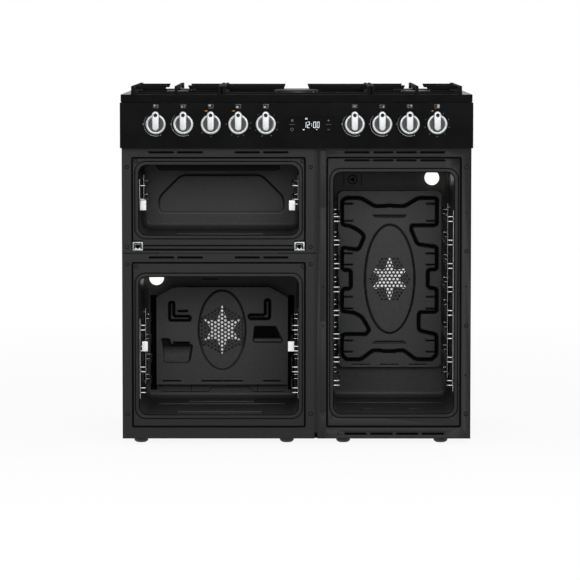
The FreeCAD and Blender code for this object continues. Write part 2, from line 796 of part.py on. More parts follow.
def insulation():
    """Mineral-wool sleeves round the three cavities."""
    sleeves = []
    for oven in OVENS:
        body = new_body(f"wool_{oven}")
        ring = sketch(body, f"wool_{oven}_ring", "XZ", f"{FRAME_BACK_Y} + wool_set_back")
        near = "(liner_steel + wool_gap)"
        far = f"({near} + wool_thickness)"
        rounded(ring, grown(CAVITY_X[oven], far), grown(CAVITY_Z[oven], far), f"mouth_corner + {far}")
        rounded(ring, grown(CAVITY_X[oven], near), grown(CAVITY_Z[oven], near), f"mouth_corner + {near}")
        pad(body, ring, f"{LINER_BACK[oven]} - {FRAME_BACK_Y} - wool_set_back", rearwards=True)
        sleeves.append(body)
    keep(group("wool", sleeves), "insulation")


# ---------------------------------------------------------------- the convection fans

GUARD_Y = {oven: f"({LINER_BACK[oven]} - guard_depth)" for oven in FAN_X}
GUARD_X = {oven: (f"{FAN_X[oven]} - {oven}_guard_width / 2", f"{FAN_X[oven]} + {oven}_guard_width / 2")
           for oven in FAN_X}


def fan_holes(oven):
    """The field of small holes in front of a fan, a hexagon that stands on a point."""
    radius, pitch, reach = value("hole_radius"), value("hole_pitch"), value("hole_field")
    row_step = pitch * 0.866
    middle = Vector(value(FAN_X[oven]), value(GUARD_Y[oven]) - value("oval_rise") - 1, value(FAN_Z[oven]))
    rows = int(reach / row_step)
    columns = int(reach / pitch) + 1
    depth = value("guard_sheet") + value("oval_rise") + 2
    drills = []
    for row in range(-rows, rows + 1):
        for column in range(-columns, columns + 1):
            up = (column + 0.5 * (row % 2)) * pitch
            sideways = row * row_step
            if abs(up) + abs(sideways) * 0.577 <= reach:
                start = middle + Vector(sideways, 0, up)
                drills.append(Part.makeCylinder(radius, depth, start, Vector(0, 1, 0)))
    cutters = doc.addObject("Part::Feature", f"fan_holes_{oven}")
    cutters.Shape = Part.makeCompound(drills)
    return cutters


def oval(drawing, x, z, half_width, half_height):
    """An upright ellipse about a point."""
    middle = Vector(value(x), value(z), 0)
    top = middle + Vector(0, value(half_height), 0)
    side = middle + Vector(value(half_width), 0, 0)
    number = drawing.addGeometry(Part.Ellipse(top, side, middle))
    drawing.exposeInternalGeometry(number)
    major, minor = number + 1, number + 2
    constrain(drawing, [
        held("DistanceX", number, 3, x),
        held("DistanceY", number, 3, z),
        (("Vertical", major), None),
        sized("Distance", major, f"2 * {half_height}"),
        sized("Distance", minor, f"2 * {half_width}"),
    ])


def guard_outline(drawing, oven, inset):
    """The guard's edge: cut corners at the left fan's top, round ones at the right fan."""
    x_span, z_span = grown(GUARD_X[oven], f"0 - {inset}"), grown(GUARD_Z[oven], f"0 - {inset}")
    if oven == "left":
        lean = "guard_chamfer_drop"
        outline(drawing, [
            (x_span[0], z_span[0]), (x_span[1], z_span[0]), (x_span[1], f"{z_span[1]} - {lean}"),
            (f"{x_span[1]} - guard_chamfer", z_span[1]), (f"{x_span[0]} + guard_chamfer", z_span[1]),
            (x_span[0], f"{z_span[1]} - {lean}"),
        ])
    else:
        rounded(drawing, x_span, z_span, f"guard_corner - {inset}")


def fan_guard(oven):
    """The pressed cover in front of one fan, with its raised oval and field of holes."""
    label = f"fan_guard_{oven}"
    body = new_body(f"{label}_pressing")
    shell = sketch(body, f"{label}_shell", "XZ", GUARD_Y[oven])
    guard_outline(shell, oven, "0")
    pad(body, shell, "guard_depth", rearwards=True)
    half_sizes = (f"{oven}_oval_half_width", f"{oven}_oval_half_height")
    raised = sketch(body, f"{label}_oval", "XZ", GUARD_Y[oven])
    oval(raised, FAN_X[oven], FAN_Z[oven], *half_sizes)
    pad(body, raised, "oval_rise")
    hollow = sketch(body, f"{label}_hollow", "XZ", f"{GUARD_Y[oven]} + guard_sheet")
    guard_outline(hollow, oven, "guard_sheet")
    pocket(body, hollow, "guard_depth")
    behind = sketch(body, f"{label}_oval_back", "XZ", f"{GUARD_Y[oven]} + guard_sheet - oval_rise")
    oval(behind, FAN_X[oven], FAN_Z[oven], *[f"({half} - guard_sheet)" for half in half_sizes])
    pocket(body, behind, "oval_rise")
    keep(cut(f"{label}_pierced", body, [fan_holes(oven)]), label)


def fan_impeller(oven):
    """A stamped fan wheel with radial blades, its hub and its shaft."""
    label = f"fan_impeller_{oven}"
    x, z = FAN_X[oven], FAN_Z[oven]
    front = f"({GUARD_Y[oven]} + guard_sheet + impeller_gap)"
    back = f"({front} + impeller_depth)"
    disc = rod(f"{label}_disc", "y", "impeller_radius", (x, f"{back} - impeller_disc", z), "impeller_disc")
    hub = rod(f"{label}_hub", "y", "hub_radius", (x, front, z), "impeller_depth")
    shaft_end = f"({LINER_BACK[oven]} + liner_steel + motor_plate_sheet + motor_length / 2)"
    shaft = rod(f"{label}_shaft", "y", "shaft_radius", (x, f"{back} - 1", z), f"{shaft_end} - {back} + 1")
    count = int(value("blade_count"))
    blades = []
    for index in range(count):
        blade = doc.addObject("Part::Box", f"{label}_blade_{index}")
        blade.setExpression("Length", bound("blade_length"))
        blade.setExpression("Width", bound("impeller_depth"))
        blade.setExpression("Height", bound("blade_sheet"))
        turn = 360.0 / count * index
        blade.Placement.Rotation = FreeCAD.Rotation(Vector(0, 1, 0), -turn)
        reach = "(impeller_radius - blade_length - blade_inset)"
        place(blade, (f"{x} + {reach} * cos({turn})", front, f"{z} + {reach} * sin({turn})"))
        blades.append(blade)
    keep(fuse(f"{label}_wheel", [disc, hub, shaft] + blades), label)


def fan_motors():
    """The two shaded-pole motors on the backs of the liners, with their mounting plates."""
    motors = []
    for oven, x in FAN_X.items():
        z = FAN_Z[oven]
        back = f"({LINER_BACK[oven]} + liner_steel)"
        name = f"motor_{oven}"
        plate = box(f"{name}_plate", (f"{x} - motor_plate / 2", f"{x} + motor_plate / 2"),
                    (back, f"{back} + motor_plate_sheet"), (f"{z} - motor_radius", f"{z} + motor_radius"))
        can = rod(f"{name}_can", "y", "motor_radius - 2", (x, f"{back} + motor_plate_sheet - 1", z),
                  "motor_length + 1")
        bore = rod(f"{name}_bore", "y", "shaft_radius + running_clearance", (x, f"{back} - 1", z),
                   "motor_length / 2 + motor_plate_sheet + 2")
        motors.append(cut(name, fuse(f"{name}_body", [plate, can]), [bore]))
    keep(group("motors", motors), "fan_motors")


def heating_rod(name, edges, legs, wall):
    """A sheathed heating rod bent along lines and arcs, with a plate at each leg."""
    radius = value("element_radius")
    path = Part.Wire(edges)
    profile = Part.Wire([Part.makeCircle(radius, legs[0], Vector(0, 1, 0))])
    tube = path.makePipeShell([profile], True, False)
    expected = math.pi * radius * radius * path.Length
    print(f"{name}: {path.Length:.1f} mm long, tube volume {tube.Volume:.0f} of {expected:.0f} mm3")
    side, sheet_depth = value("element_plate_height"), value("guard_sheet")
    plates = []
    for leg in legs:
        corner = Vector(leg.x - side / 2, wall - sheet_depth, leg.z - side / 2)
        plates.append(Part.makeBox(side, sheet_depth, side, corner))
    rod_piece = doc.addObject("Part::Feature", name)
    rod_piece.Shape = tube.fuse(plates).removeSplitter()
    return rod_piece


def ring_elements():
    """The heating rings round the two fans: each an open ring whose two ends bend rearwards."""
    radius, bend, offset = value("ring_radius"), value("element_bend"), value("element_leg_offset")
    start_turn = math.asin(offset / math.hypot(radius, bend)) + math.atan(bend / radius)
    rings = []
    for oven, x in FAN_X.items():
        middle = Vector(value(x), value(GUARD_Y[oven]) + value("guard_depth") / 2, value(FAN_Z[oven]))
        wall = value(LINER_BACK[oven])
        tails = Vector(0, wall + value("element_leg_out") - middle.y, 0)

        def on_ring(turn):
            return middle + Vector(radius * math.sin(turn), 0, -radius * math.cos(turn))

        ends = []
        for side in (1, -1):
            begin = on_ring(side * start_turn)
            tangent = Vector(side * math.cos(start_turn), 0, math.sin(start_turn))
            corner = begin - tangent * bend
            centre = begin + Vector(0, bend, 0)
            halfway = centre - (tangent + Vector(0, 1, 0)) * (bend * math.sqrt(0.5))
            ends.append((corner + tails, corner + Vector(0, bend, 0), halfway, begin))
        (tail_a, leg_a, bend_a, start_a), (tail_b, leg_b, bend_b, start_b) = ends
        top = on_ring(math.pi)
        edges = [
            Part.LineSegment(tail_a, leg_a).toShape(),
            Part.Arc(leg_a, bend_a, start_a).toShape(),
            Part.Arc(start_a, on_ring(math.pi / 2), top).toShape(),
            Part.Arc(top, on_ring(-math.pi / 2), start_b).toShape(),
            Part.Arc(start_b, bend_b, leg_b).toShape(),
            Part.LineSegment(leg_b, tail_b).toShape(),
        ]
        rings.append(heating_rod(f"ring_{oven}", edges, (tail_a, tail_b), wall))
    keep(group("rings", rings), "ring_elements")


def grill_element():
    """The serpentine heating rod under the grill oven's roof."""
    pitch = value("grill_bar_pitch")
    count = int(value("grill_bar_count"))
    z = value(GRILL_LEG_Z)
    wall = value(LINER_BACK["grill"])
    front = value(FRAME_BACK_Y) + value("grill_element_front") + pitch / 2
    rear = wall - pitch
    tails = wall + value("element_leg_out")
    x = value(GRILL_LEGS[0])
    legs = (Vector(x, tails, z), Vector(value(GRILL_LEGS[1]), tails, z))
    edges = [Part.LineSegment(legs[0], Vector(x, front, z)).toShape()]
    for index in range(count - 1):
        at_front = index % 2 == 0
        turn_y = front if at_front else rear
        bulge = -pitch / 2 if at_front else pitch / 2
        far_x = x + pitch
        middle = Vector(x + pitch / 2, turn_y + bulge, z)
        edges.append(Part.Arc(Vector(x, turn_y, z), middle, Vector(far_x, turn_y, z)).toShape())
        last = index == count - 2
        next_y = tails if last else (rear if at_front else front)
        edges.append(Part.LineSegment(Vector(far_x, turn_y, z), Vector(far_x, next_y, z)).toShape())
        x = far_x
    keep(heating_rod("grill_rod", edges, legs, wall), "grill_element")


# ---------------------------------------------------------------- lamps, racks and hinge receivers

def lamp_parts():
    """Each fan oven's lamp: a ceramic holder with its bulb, and a screw-on glass cup."""
    holders, lenses = [], []
    for oven, (x, z) in LAMPS.items():
        wall = LINER_BACK[oven]
        name = f"lamp_{oven}"
        socket = rod(f"{name}_socket", "y", "lamp_lens_radius + lamp_collar", (x, f"{wall} + liner_steel", z),
                     "lamp_holder_depth")
        bulb_length = "(lamp_lens_depth - 2 * lamp_glass)"
        bulb = rod(f"{name}_bulb", "y", "lamp_bulb_radius", (x, f"{wall} - {bulb_length}", z),
                   f"{bulb_length} + liner_steel + 1")
        holders.append(fuse(f"{name}_holder", [socket, bulb]))
        cup = rod(f"{name}_cup", "y", "lamp_lens_radius", (x, f"{wall} - lamp_lens_depth", z),
                  "lamp_lens_depth")
        room = rod(f"{name}_room", "y", "lamp_lens_radius - lamp_glass",
                   (x, f"{wall} - lamp_lens_depth + lamp_glass", z), "lamp_lens_depth")
        lenses.append(cut(f"{name}_lens", cup, [room]))
    keep(group("holders", holders), "lamp_holders")
    keep(group("lenses", lenses), "lamp_lenses")


def runner(name, wall_x, inwards, y_span, z):
    """A shelf runner: one wire along the wall, whose two ends bend back across the uprights."""
    radius, bend = value("rack_wire_radius"), value("rack_bend")
    near = value(f"{wall_x} + {inwards} * (rack_stand_off - rack_wire_radius)")
    far = value(f"{wall_x} + {inwards} * rack_reach")
    front, rear, height = value(y_span[0]) - 2 * radius, value(y_span[1]) + 2 * radius, value(z)
    way = float(inwards)
    turn = far - way * bend
    softly = bend * (1 - math.sqrt(0.5))
    places = {
        "start": (near, front), "front_turn": (turn, front), "front_bend": (far - way * softly, front + softly),
        "front_end": (far, front + bend), "rear_end": (far, rear - bend),
        "rear_bend": (far - way * softly, rear - softly), "rear_turn": (turn, rear), "end": (near, rear),
    }
    at = {word: Vector(x, y, height) for word, (x, y) in places.items()}
    path = Part.Wire([
        Part.LineSegment(at["start"], at["front_turn"]).toShape(),
        Part.Arc(at["front_turn"], at["front_bend"], at["front_end"]).toShape(),
        Part.LineSegment(at["front_end"], at["rear_end"]).toShape(),
        Part.Arc(at["rear_end"], at["rear_bend"], at["rear_turn"]).toShape(),
        Part.LineSegment(at["rear_turn"], at["end"]).toShape(),
    ])
    profile = Part.Wire([Part.makeCircle(radius, at["start"], Vector(1, 0, 0))])
    piece = doc.addObject("Part::Feature", name)
    piece.Shape = path.makePipeShell([profile], True, False)
    return piece


def rack(name, wall_x, inwards, y_span, levels, z_span):
    """One wire side rack: two uprights with pegs on the cavity's wall, and runners across them."""
    x = f"({wall_x} + {inwards} * rack_stand_off)"
    wires = []
    for index, y in enumerate(y_span):
        upright = rod(f"{name}_upright_{index}", "z", "rack_wire_radius", (x, y, z_span[0]),
                      f"({z_span[1]}) - ({z_span[0]})")
        pegs = []
        for end, z in enumerate((f"({z_span[0]} + rack_peg_inset)", f"({z_span[1]} - rack_peg_inset)")):
            start = (wall_x if inwards == "1" else x, y, z)
            pegs.append(rod(f"{name}_peg_{index}_{end}", "x", "rack_wire_radius", start, "rack_stand_off"))
        wires.append(fuse(f"{name}_bracket_{index}", [upright] + pegs))
    for index, z in enumerate(levels):
        wires.append(runner(f"{name}_runner_{index}", wall_x, inwards, y_span, z))
    return wires


def rung_levels(oven):
    """The heights of one oven's runners, in pairs that hold a shelf between them."""
    pairs = int(value(f"{oven}_rung_pairs"))
    bottom = f"{CAVITY_Z[oven][0]} + {oven}_rung_rise"
    lows = [f"({bottom} + {index} * {oven}_rung_pitch)" for index in range(pairs)]
    return [level for low in lows for level in (low, f"({low} + rung_pair_gap)")]


def side_racks():
    """The six chromed wire racks on the cavities' side walls."""
    front = f"({FRAME_BACK_Y} + rack_front_inset)"
    floor, roof = CAVITY_Z["grill"]
    height = f"({roof} - ({floor}))"
    low, top = [f"({floor} + grill_{kind}_share * {height})" for kind in ("rung", "top_rung")]
    racks = []
    levels = {
        "grill": [low, f"({low} + rung_pair_gap)", top],
        "left": rung_levels("left"),
        "right": rung_levels("right"),
    }
    for oven, heights in levels.items():
        reach = "grill_rack_length" if oven == "grill" else "rack_length"
        span = (f"{heights[0]} - rack_overhang", f"{heights[-1]} + rack_overhang")
        for side, wall_x in (("1", CAVITY_X[oven][0]), ("-1", CAVITY_X[oven][1])):
            name = f"rack_{oven}_{'near' if side == '1' else 'far'}"
            racks += rack(name, wall_x, side, (front, f"({front} + {reach})"), heights, span)
    keep(group("racks", racks), "side_racks")


def hinge_receivers():
    """The two steel sockets under the grill oven that its door hooks into."""
    plates = []
    for side, start in RECEIVER_STARTS.items():
        body = new_body(f"receiver_{side}")
        face = sketch(body, f"receiver_{side}_face", "XZ", f"{FRAME_Y} + frame_thickness - frame_sheet")
        rounded(face, (start, f"{start} + receiver_width"),
                (RECEIVER_Z, f"{RECEIVER_Z} + receiver_height"), "slot_corner")
        rounded(face, *receiver_slot(side), "slot_corner")
        pad(body, face, "receiver_sheet")
        plates.append(body)
    keep(group("receivers", plates), "hinge_receivers")


# ---------------------------------------------------------------- the hob

SUPPORT_Y = (f"({FASCIA_Y} + support_front_inset)", f"({REAR_Y} - support_rear_inset)")
SUPPORT_TOP = "(hob_height + support_height)"
SIDE_SUPPORT = ("(centre_support_half + support_gap)", "(cooker_width / 2 - support_side_inset)")
SUPPORTS = {
    "left": (f"(0 - {SIDE_SUPPORT[1]})", f"(0 - {SIDE_SUPPORT[0]})"),
    "centre": ("(0 - centre_support_half)", "centre_support_half"),
    "right": SIDE_SUPPORT,
}
RIGHT_BURNER_X = f"(({SIDE_SUPPORT[0]} + {SIDE_SUPPORT[1]}) / 2)"
LEFT_BURNER_X = f"(0 - {RIGHT_BURNER_X})"
FRONT_BURNER_Y = f"({SUPPORT_Y[0]} + front_burner_inset)"
REAR_BURNER_Y = f"({SUPPORT_Y[1]} - rear_burner_inset)"
CENTRE_BURNER_Y = f"(({FRONT_BURNER_Y} + {REAR_BURNER_Y}) / 2)"
BURNERS = {
    "left_front": (LEFT_BURNER_X, FRONT_BURNER_Y, "small_burner_radius"),
    "left_rear": (LEFT_BURNER_X, REAR_BURNER_Y, "medium_burner_radius"),
    "centre": ("0", CENTRE_BURNER_Y, "wok_burner_radius"),
    "right_front": (RIGHT_BURNER_X, FRONT_BURNER_Y, "medium_burner_radius"),
    "right_rear": (RIGHT_BURNER_X, REAR_BURNER_Y, "large_burner_radius"),
}


def hob_plate():
    """The enamelled hob: a tray with a skirt, a shallow well, a rear rail and burner holes."""
    body = new_body("hob_plate")
    half = "(cooker_width / 2 - hob_inset)"
    front = f"({FASCIA_Y} + hob_inset)"
    top = sketch(body, "hob_plate_top", "XY", SKIRT_Z)
    rounded(top, (f"0 - {half}", half), (front, REAR_Y), "hob_well")
    pad(body, top, "skirt_height")
    rail = sketch(body, "hob_plate_rail", "XY", "hob_height")
    rectangle(rail, (f"0 - {half} + hob_rim", f"{half} - hob_rim"), (f"{REAR_Y} - rear_rail_depth", REAR_Y))
    pad(body, rail, "rear_rail_height")
    well = sketch(body, "hob_plate_well", "XY", "hob_height")
    rounded(well, (f"0 - {half} + hob_rim", f"{half} - hob_rim"),
            (f"{front} + hob_rim", f"{REAR_Y} - rear_rail_depth - hob_well"), "hob_rim / 2")
    pocket(body, well, "hob_well")
    inside = sketch(body, "hob_plate_inside", "XY", SKIRT_Z)
    rectangle(inside, (f"0 - {half} + hob_steel", f"{half} - hob_steel"),
              (f"{front} + hob_steel", f"{REAR_Y} - hob_steel"))
    pocket(body, inside, f"{WELL_Z} - hob_steel - {SKIRT_Z}", forwards=True)
    holes = sketch(body, "hob_plate_holes", "XY", "hob_height")
    for x, y, radius in BURNERS.values():
        circle(holes, x, y, f"{radius} - burner_boss_inset + burner_hole_clearance")
    pocket(body, holes, "skirt_height")
    keep(body, "hob_plate")


def burner_bodies():
    """The cast cups under the hob, whose bosses come up through its holes."""
    cups = []
    for name, (x, y, radius) in BURNERS.items():
        under = f"({WELL_Z} - hob_steel)"
        cup = rod(f"cup_{name}_bowl", "z", radius, (x, y, f"{under} - burner_cup_depth"), "burner_cup_depth")
        boss = rod(f"cup_{name}_boss", "z", f"{radius} - burner_boss_inset", (x, y, f"{under} - 1"),
                   "hob_steel + 1")
        throat = rod(f"cup_{name}_throat", "z", "throat_radius",
                     (x, y, f"{under} - burner_cup_depth + burner_cup_floor"), "burner_cup_depth + hob_steel")
        cups.append(cut(f"cup_{name}", fuse(f"cup_{name}_body", [cup, boss]), [throat]))
    keep(group("cups", cups), "burner_bodies")


def burner_heads(side):
    """The flame crowns and enamelled caps over one pan support's burners."""
    names = [name for name in BURNERS if name.startswith(side)]
    crowns, caps = [], []
    for name in names:
        x, y, radius = BURNERS[name]
        ring = rod(f"crown_{name}_ring", "z", radius, (x, y, WELL_Z), "crown_height")
        hollow = rod(f"crown_{name}_hollow", "z", f"{radius} - crown_wall", (x, y, f"{WELL_Z} - 1"),
                     "crown_height - crown_roof + 1")
        crowns.append(cut(f"crown_{name}", ring, [hollow]))
        cap_z = f"({WELL_Z} + crown_height)"
        rim = f"{radius} + cap_overhang"
        plate = rod(f"cap_{name}_plate", "z", rim, (x, y, cap_z), "cap_height - cap_bevel")
        dome = cone(f"cap_{name}_dome", "z", (rim, f"{rim} - 2 * cap_bevel"),
                    (x, y, f"{cap_z} + cap_height - cap_bevel"), "cap_bevel")
        caps.append(fuse(f"cap_{name}", [plate, dome]))
    keep(group(f"crowns_{side}", crowns), f"burner_crowns_{side}")
    keep(group(f"caps_{side}", caps), f"burner_caps_{side}")


def finger_profile(name, plane, at, points, width):
    """A cast finger: its side view, as thick as the bars."""
    body = new_body(name)
    side_view = sketch(body, f"{name}_side", plane, at)
    outline(side_view, points)
    pad(body, side_view, width)
    return body


def finger(name, along, root, tip, across, heading):
    """A finger from a bar towards a burner's middle, with a slanted tip."""
    low, high = f"({SUPPORT_TOP} - finger_height)", SUPPORT_TOP
    points = [(root, low), (f"{tip} - {heading} * finger_slant", low), (tip, high), (root, high)]
    if along == "x":
        return finger_profile(name, "XZ", f"{across} + support_bar / 2", points, "support_bar")
    return finger_profile(name, "YZ", f"{across} - support_bar / 2", points, "support_bar")


def pan_support(side):
    """One cast-iron pan support: low bars, tall sides, and fingers that stop short of the flames."""
    name = f"support_{side}"
    left, right = SUPPORTS[side]
    front, rear = SUPPORT_Y
    low = (WELL_Z, f"({WELL_Z} + low_bar_height)")
    bars = [(front, f"{front} + support_bar"), (f"{rear} - support_bar", rear)]
    burners = [spot for spot_name, spot in BURNERS.items() if spot_name.startswith(side)]
    if side == "centre":
        gap = "wok_finger_gap"
        shifts = ("- wok_cross_offset", "+ 0", "+ wok_cross_offset")
        rows = [(x, f"({y} {shift})") for x, y, _ in burners for shift in shifts]
    else:
        gap = "finger_gap"
        bars.append((f"{CENTRE_BURNER_Y} - support_bar / 2", f"{CENTRE_BURNER_Y} + support_bar / 2"))
        rows = [(x, y) for x, y, _ in burners]
    pieces = [
        box(f"{name}_side_a", (left, f"{left} + support_bar"), (front, rear), (WELL_Z, SUPPORT_TOP)),
        box(f"{name}_side_b", (f"{right} - support_bar", right), (front, rear), (WELL_Z, SUPPORT_TOP)),
    ]
    for index, bar in enumerate(bars):
        pieces.append(box(f"{name}_bar_{index}", (left, right), bar, low))
    for index, (x, y) in enumerate(rows):
        pieces.append(finger(f"{name}_x{index}a", "x", f"{left} + support_bar / 2", f"{x} - {gap}", y, "1"))
        pieces.append(finger(f"{name}_x{index}b", "x", f"{right} - support_bar / 2", f"{x} + {gap}", y, "-1"))
    if side != "centre":
        pieces += burner_lane(name, rows, gap, bars)
    keep(fuse(f"{name}_casting", pieces), f"pan_support_{side}")


def burner_lane(name, rows, gap, bars):
    """The posts and fingers of a side support, in line from front to rear through both burners."""
    front, rear = SUPPORT_Y
    roots = [f"({front} + support_bar)", CENTRE_BURNER_Y, f"({rear} - support_bar)"]
    pieces = []
    for index, (x, y) in enumerate(rows):
        pieces.append(finger(f"{name}_y{index}a", "y", roots[index], f"{y} - {gap}", x, "1"))
        pieces.append(finger(f"{name}_y{index}b", "y", roots[index + 1], f"{y} + {gap}", x, "-1"))
    x = rows[0][0]
    for index, bar in enumerate(bars):
        pieces.append(box(f"{name}_post_{index}", (f"{x} - support_bar / 2", f"{x} + support_bar / 2"),
                          bar, (WELL_Z, SUPPORT_TOP)))
    return pieces


# ---------------------------------------------------------------- the fascia and its controls

LEFT_KNOBS, RIGHT_KNOBS = 5, 4
KNOB_END = "(cooker_width / 2 - knob_inset)"
KNOBS_X = ([f"({index} * knob_pitch - {KNOB_END})" for index in range(LEFT_KNOBS)]
           + [f"({KNOB_END} - {index} * knob_pitch)" for index in reversed(range(RIGHT_KNOBS))])
GAS_KNOBS = (1, 2, 6, 7, 8)
OVEN_KNOBS = (3, 4, 5, 9)
KNOB_Z = f"({FASCIA_TOP} - knob_drop)"
KNOB_BACK = f"({FASCIA_Y} - knob_gap)"
CONTROL_FRONT = f"({FASCIA_Y} + fascia_steel)"
CONTROL_FACE = f"({CONTROL_FRONT} + control_neck)"
WINDOW_X = (f"{KNOBS_X[LEFT_KNOBS - 1]} + window_clearance", f"{KNOBS_X[LEFT_KNOBS]} - window_clearance")
WINDOW_Z = (f"{KNOB_Z} - window_height / 2", f"{KNOB_Z} + window_height / 2")
RAIL_Z = (f"{KNOB_Z} - tap_height / 2 - rail_size", f"{KNOB_Z} - tap_height / 2")
RAIL_Y = (f"({CONTROL_FACE} + rail_set_back)", f"({CONTROL_FACE} + rail_set_back + rail_size)")
RAIL_END_X = f"(0 - {INNER_HALF} + rail_inset)"


def control_fascia():
    """The black fascia: a folded front with returns, knob holes and the display's opening."""
    body = new_body("control_fascia")
    half = "(cooker_width / 2)"
    front = sketch(body, "fascia_front", "XZ", FASCIA_Y)
    rounded(front, (f"0 - {half}", half), (FASCIA_BOTTOM, FASCIA_TOP), "slot_corner")
    depth = f"{FRAME_BACK_Y} - {FASCIA_Y}"
    pad(body, front, depth, rearwards=True)
    inside = sketch(body, "fascia_inside", "XZ", CONTROL_FRONT)
    rectangle(inside, (f"0 - {half} + fascia_steel", f"{half} - fascia_steel"),
              (f"{FASCIA_BOTTOM} + fascia_steel", f"{FASCIA_TOP} - fascia_steel"))
    pocket(body, inside, depth)
    holes = sketch(body, "fascia_holes", "XZ", FASCIA_Y)
    for x in KNOBS_X:
        circle(holes, x, KNOB_Z, "spindle_hole_radius")
    rounded(holes, WINDOW_X, WINDOW_Z, "slot_corner")
    pocket(body, holes, "fascia_steel")
    keep(body, "control_fascia")


def display():
    """The glass over the clock, flush with the fascia, and the timer box behind it."""
    body = new_body("display_window")
    lip = sketch(body, "window_lip_face", "XZ", CONTROL_FRONT)
    lip_z = grown(WINDOW_Z, "window_lip")
    rectangle(lip, grown(WINDOW_X, "window_lip"), lip_z)
    pad(body, lip, "glass_thickness", rearwards=True)
    front = sketch(body, "window_front", "XZ", CONTROL_FRONT)
    slack = "0 - glass_clearance / 2"
    rounded(front, grown(WINDOW_X, slack), grown(WINDOW_Z, slack), "slot_corner")
    pad(body, front, "fascia_steel")
    keep(body, "display_window")
    back = f"({CONTROL_FRONT} + glass_thickness)"
    keep(box("timer_box", WINDOW_X, (back, f"{back} + timer_depth"), lip_z), "timer_module")


def knob(number):
    """A control knob: a round disc, and a grip bar that ends in a pointer lobe."""
    label = f"knob_{number}"
    x = KNOBS_X[number - 1]
    grip_front, disc_front = FRONT_Y, f"({KNOB_BACK} - knob_disc)"
    grip_depth = f"{KNOB_BACK} - {grip_front} - grip_step"
    disc = rod(f"{label}_disc", "y", "knob_radius", (x, disc_front, KNOB_Z), "knob_disc")
    lobe_z, heel_z = f"{KNOB_Z} + pointer_rise", f"{KNOB_Z} - heel_drop"
    lobe = rod(f"{label}_lobe", "y", "grip_radius", (x, grip_front, lobe_z), grip_depth)
    heel = rod(f"{label}_heel", "y", "grip_radius", (x, grip_front, heel_z), grip_depth)
    bar = box(f"{label}_bar", (f"{x} - grip_radius", f"{x} + grip_radius"),
              (grip_front, f"{grip_front} + {grip_depth}"), (heel_z, lobe_z))
    solids = [disc, lobe, heel, bar]
    if number in OVEN_KNOBS:
        length = f"{CONTROL_FACE} + spindle_insert - {KNOB_BACK} + 1"
        solids.append(rod(f"{label}_shaft", "y", "spindle_radius", (x, f"{KNOB_BACK} - 1", KNOB_Z), length))
        keep(fuse(f"{label}_solid", solids), label)
    else:
        bore = rod(f"{label}_bore", "y", "spindle_radius + running_clearance",
                   (x, f"{KNOB_BACK} - knob_bore_depth", KNOB_Z), "knob_bore_depth + 1")
        keep(cut(f"{label}_bored", fuse(f"{label}_solid", solids), [bore]), label)


def gas_spindle(order, number):
    """A gas tap's spindle, which turns in the tap and carries its knob."""
    start = f"({KNOB_BACK} - spindle_reach)"
    length = f"{CONTROL_FACE} + spindle_insert - {start}"
    pin = rod(f"spindle_{order}", "y", "spindle_radius", (KNOBS_X[number - 1], start, KNOB_Z), length)
    keep(pin, f"gas_spindle_{order}")


def control_body(name, x, width, height, depth):
    """A control behind the fascia: its neck, its case and the bore for its spindle."""
    neck = rod(f"{name}_neck", "y", "control_neck_radius", (x, CONTROL_FRONT, KNOB_Z), "control_neck + 1")
    case = box(f"{name}_case", (f"{x} - {width} / 2", f"{x} + {width} / 2"),
               (CONTROL_FACE, f"{CONTROL_FACE} + {depth}"),
               (f"{KNOB_Z} - {height} / 2", f"{KNOB_Z} + {height} / 2"))
    bore = rod(f"{name}_bore", "y", "spindle_radius + running_clearance",
               (x, f"{CONTROL_FRONT} - 1", KNOB_Z), "control_neck + spindle_insert + 2")
    return cut(name, fuse(f"{name}_body", [neck, case]), [bore])


def controls():
    """The gas taps and the oven switches, each kind as one group."""
    taps = [control_body(f"tap_{number}", KNOBS_X[number - 1], "tap_width", "tap_height", "tap_depth")
            for number in GAS_KNOBS]
    keep(group("taps", taps), "gas_taps")
    switches = [control_body(f"switch_{number}", KNOBS_X[number - 1], "control_width", "control_height",
                             "control_depth") for number in OVEN_KNOBS]
    keep(group("switches", switches), "oven_controls")


def gas_supply():
    """The square gas rail under the taps, and the pipe from its end to the threaded inlet."""
    rail_right = f"{KNOBS_X[7]} + tap_width"
    tube = box("rail_tube", (RAIL_END_X, rail_right), RAIL_Y, RAIL_Z)
    bore = box("rail_bore", (f"{RAIL_END_X} + rail_wall", f"{rail_right} - rail_wall"),
               (f"{RAIL_Y[0]} + rail_wall", f"{RAIL_Y[1]} - rail_wall"),
               (f"{RAIL_Z[0]} + rail_wall", f"{RAIL_Z[1]} - rail_wall"))
    keep(cut("rail", tube, [bore]), "gas_rail")
    start = (PIPE_X, RAIL_Y[1], PIPE_Z)
    pipe = rod("inlet_pipe", "y", "inlet_pipe_radius", start, f"{REAR_Y} - ({RAIL_Y[1]})")
    thread_start = f"({REAR_Y} - inlet_thread_length)"
    thread = rod("inlet_thread", "y", "inlet_thread_radius", (PIPE_X, thread_start, PIPE_Z),
                 "inlet_thread_length")
    hollow = rod("inlet_hollow", "y", "inlet_bore_radius", (PIPE_X, f"{RAIL_Y[1]} - 1", PIPE_Z),
                 f"{REAR_Y} - ({RAIL_Y[1]}) + 2")
    keep(cut("inlet", fuse("inlet_solid", [pipe, thread]), [hollow]), "gas_inlet")


# ---------------------------------------------------------------- the cooling fan and the terminal box

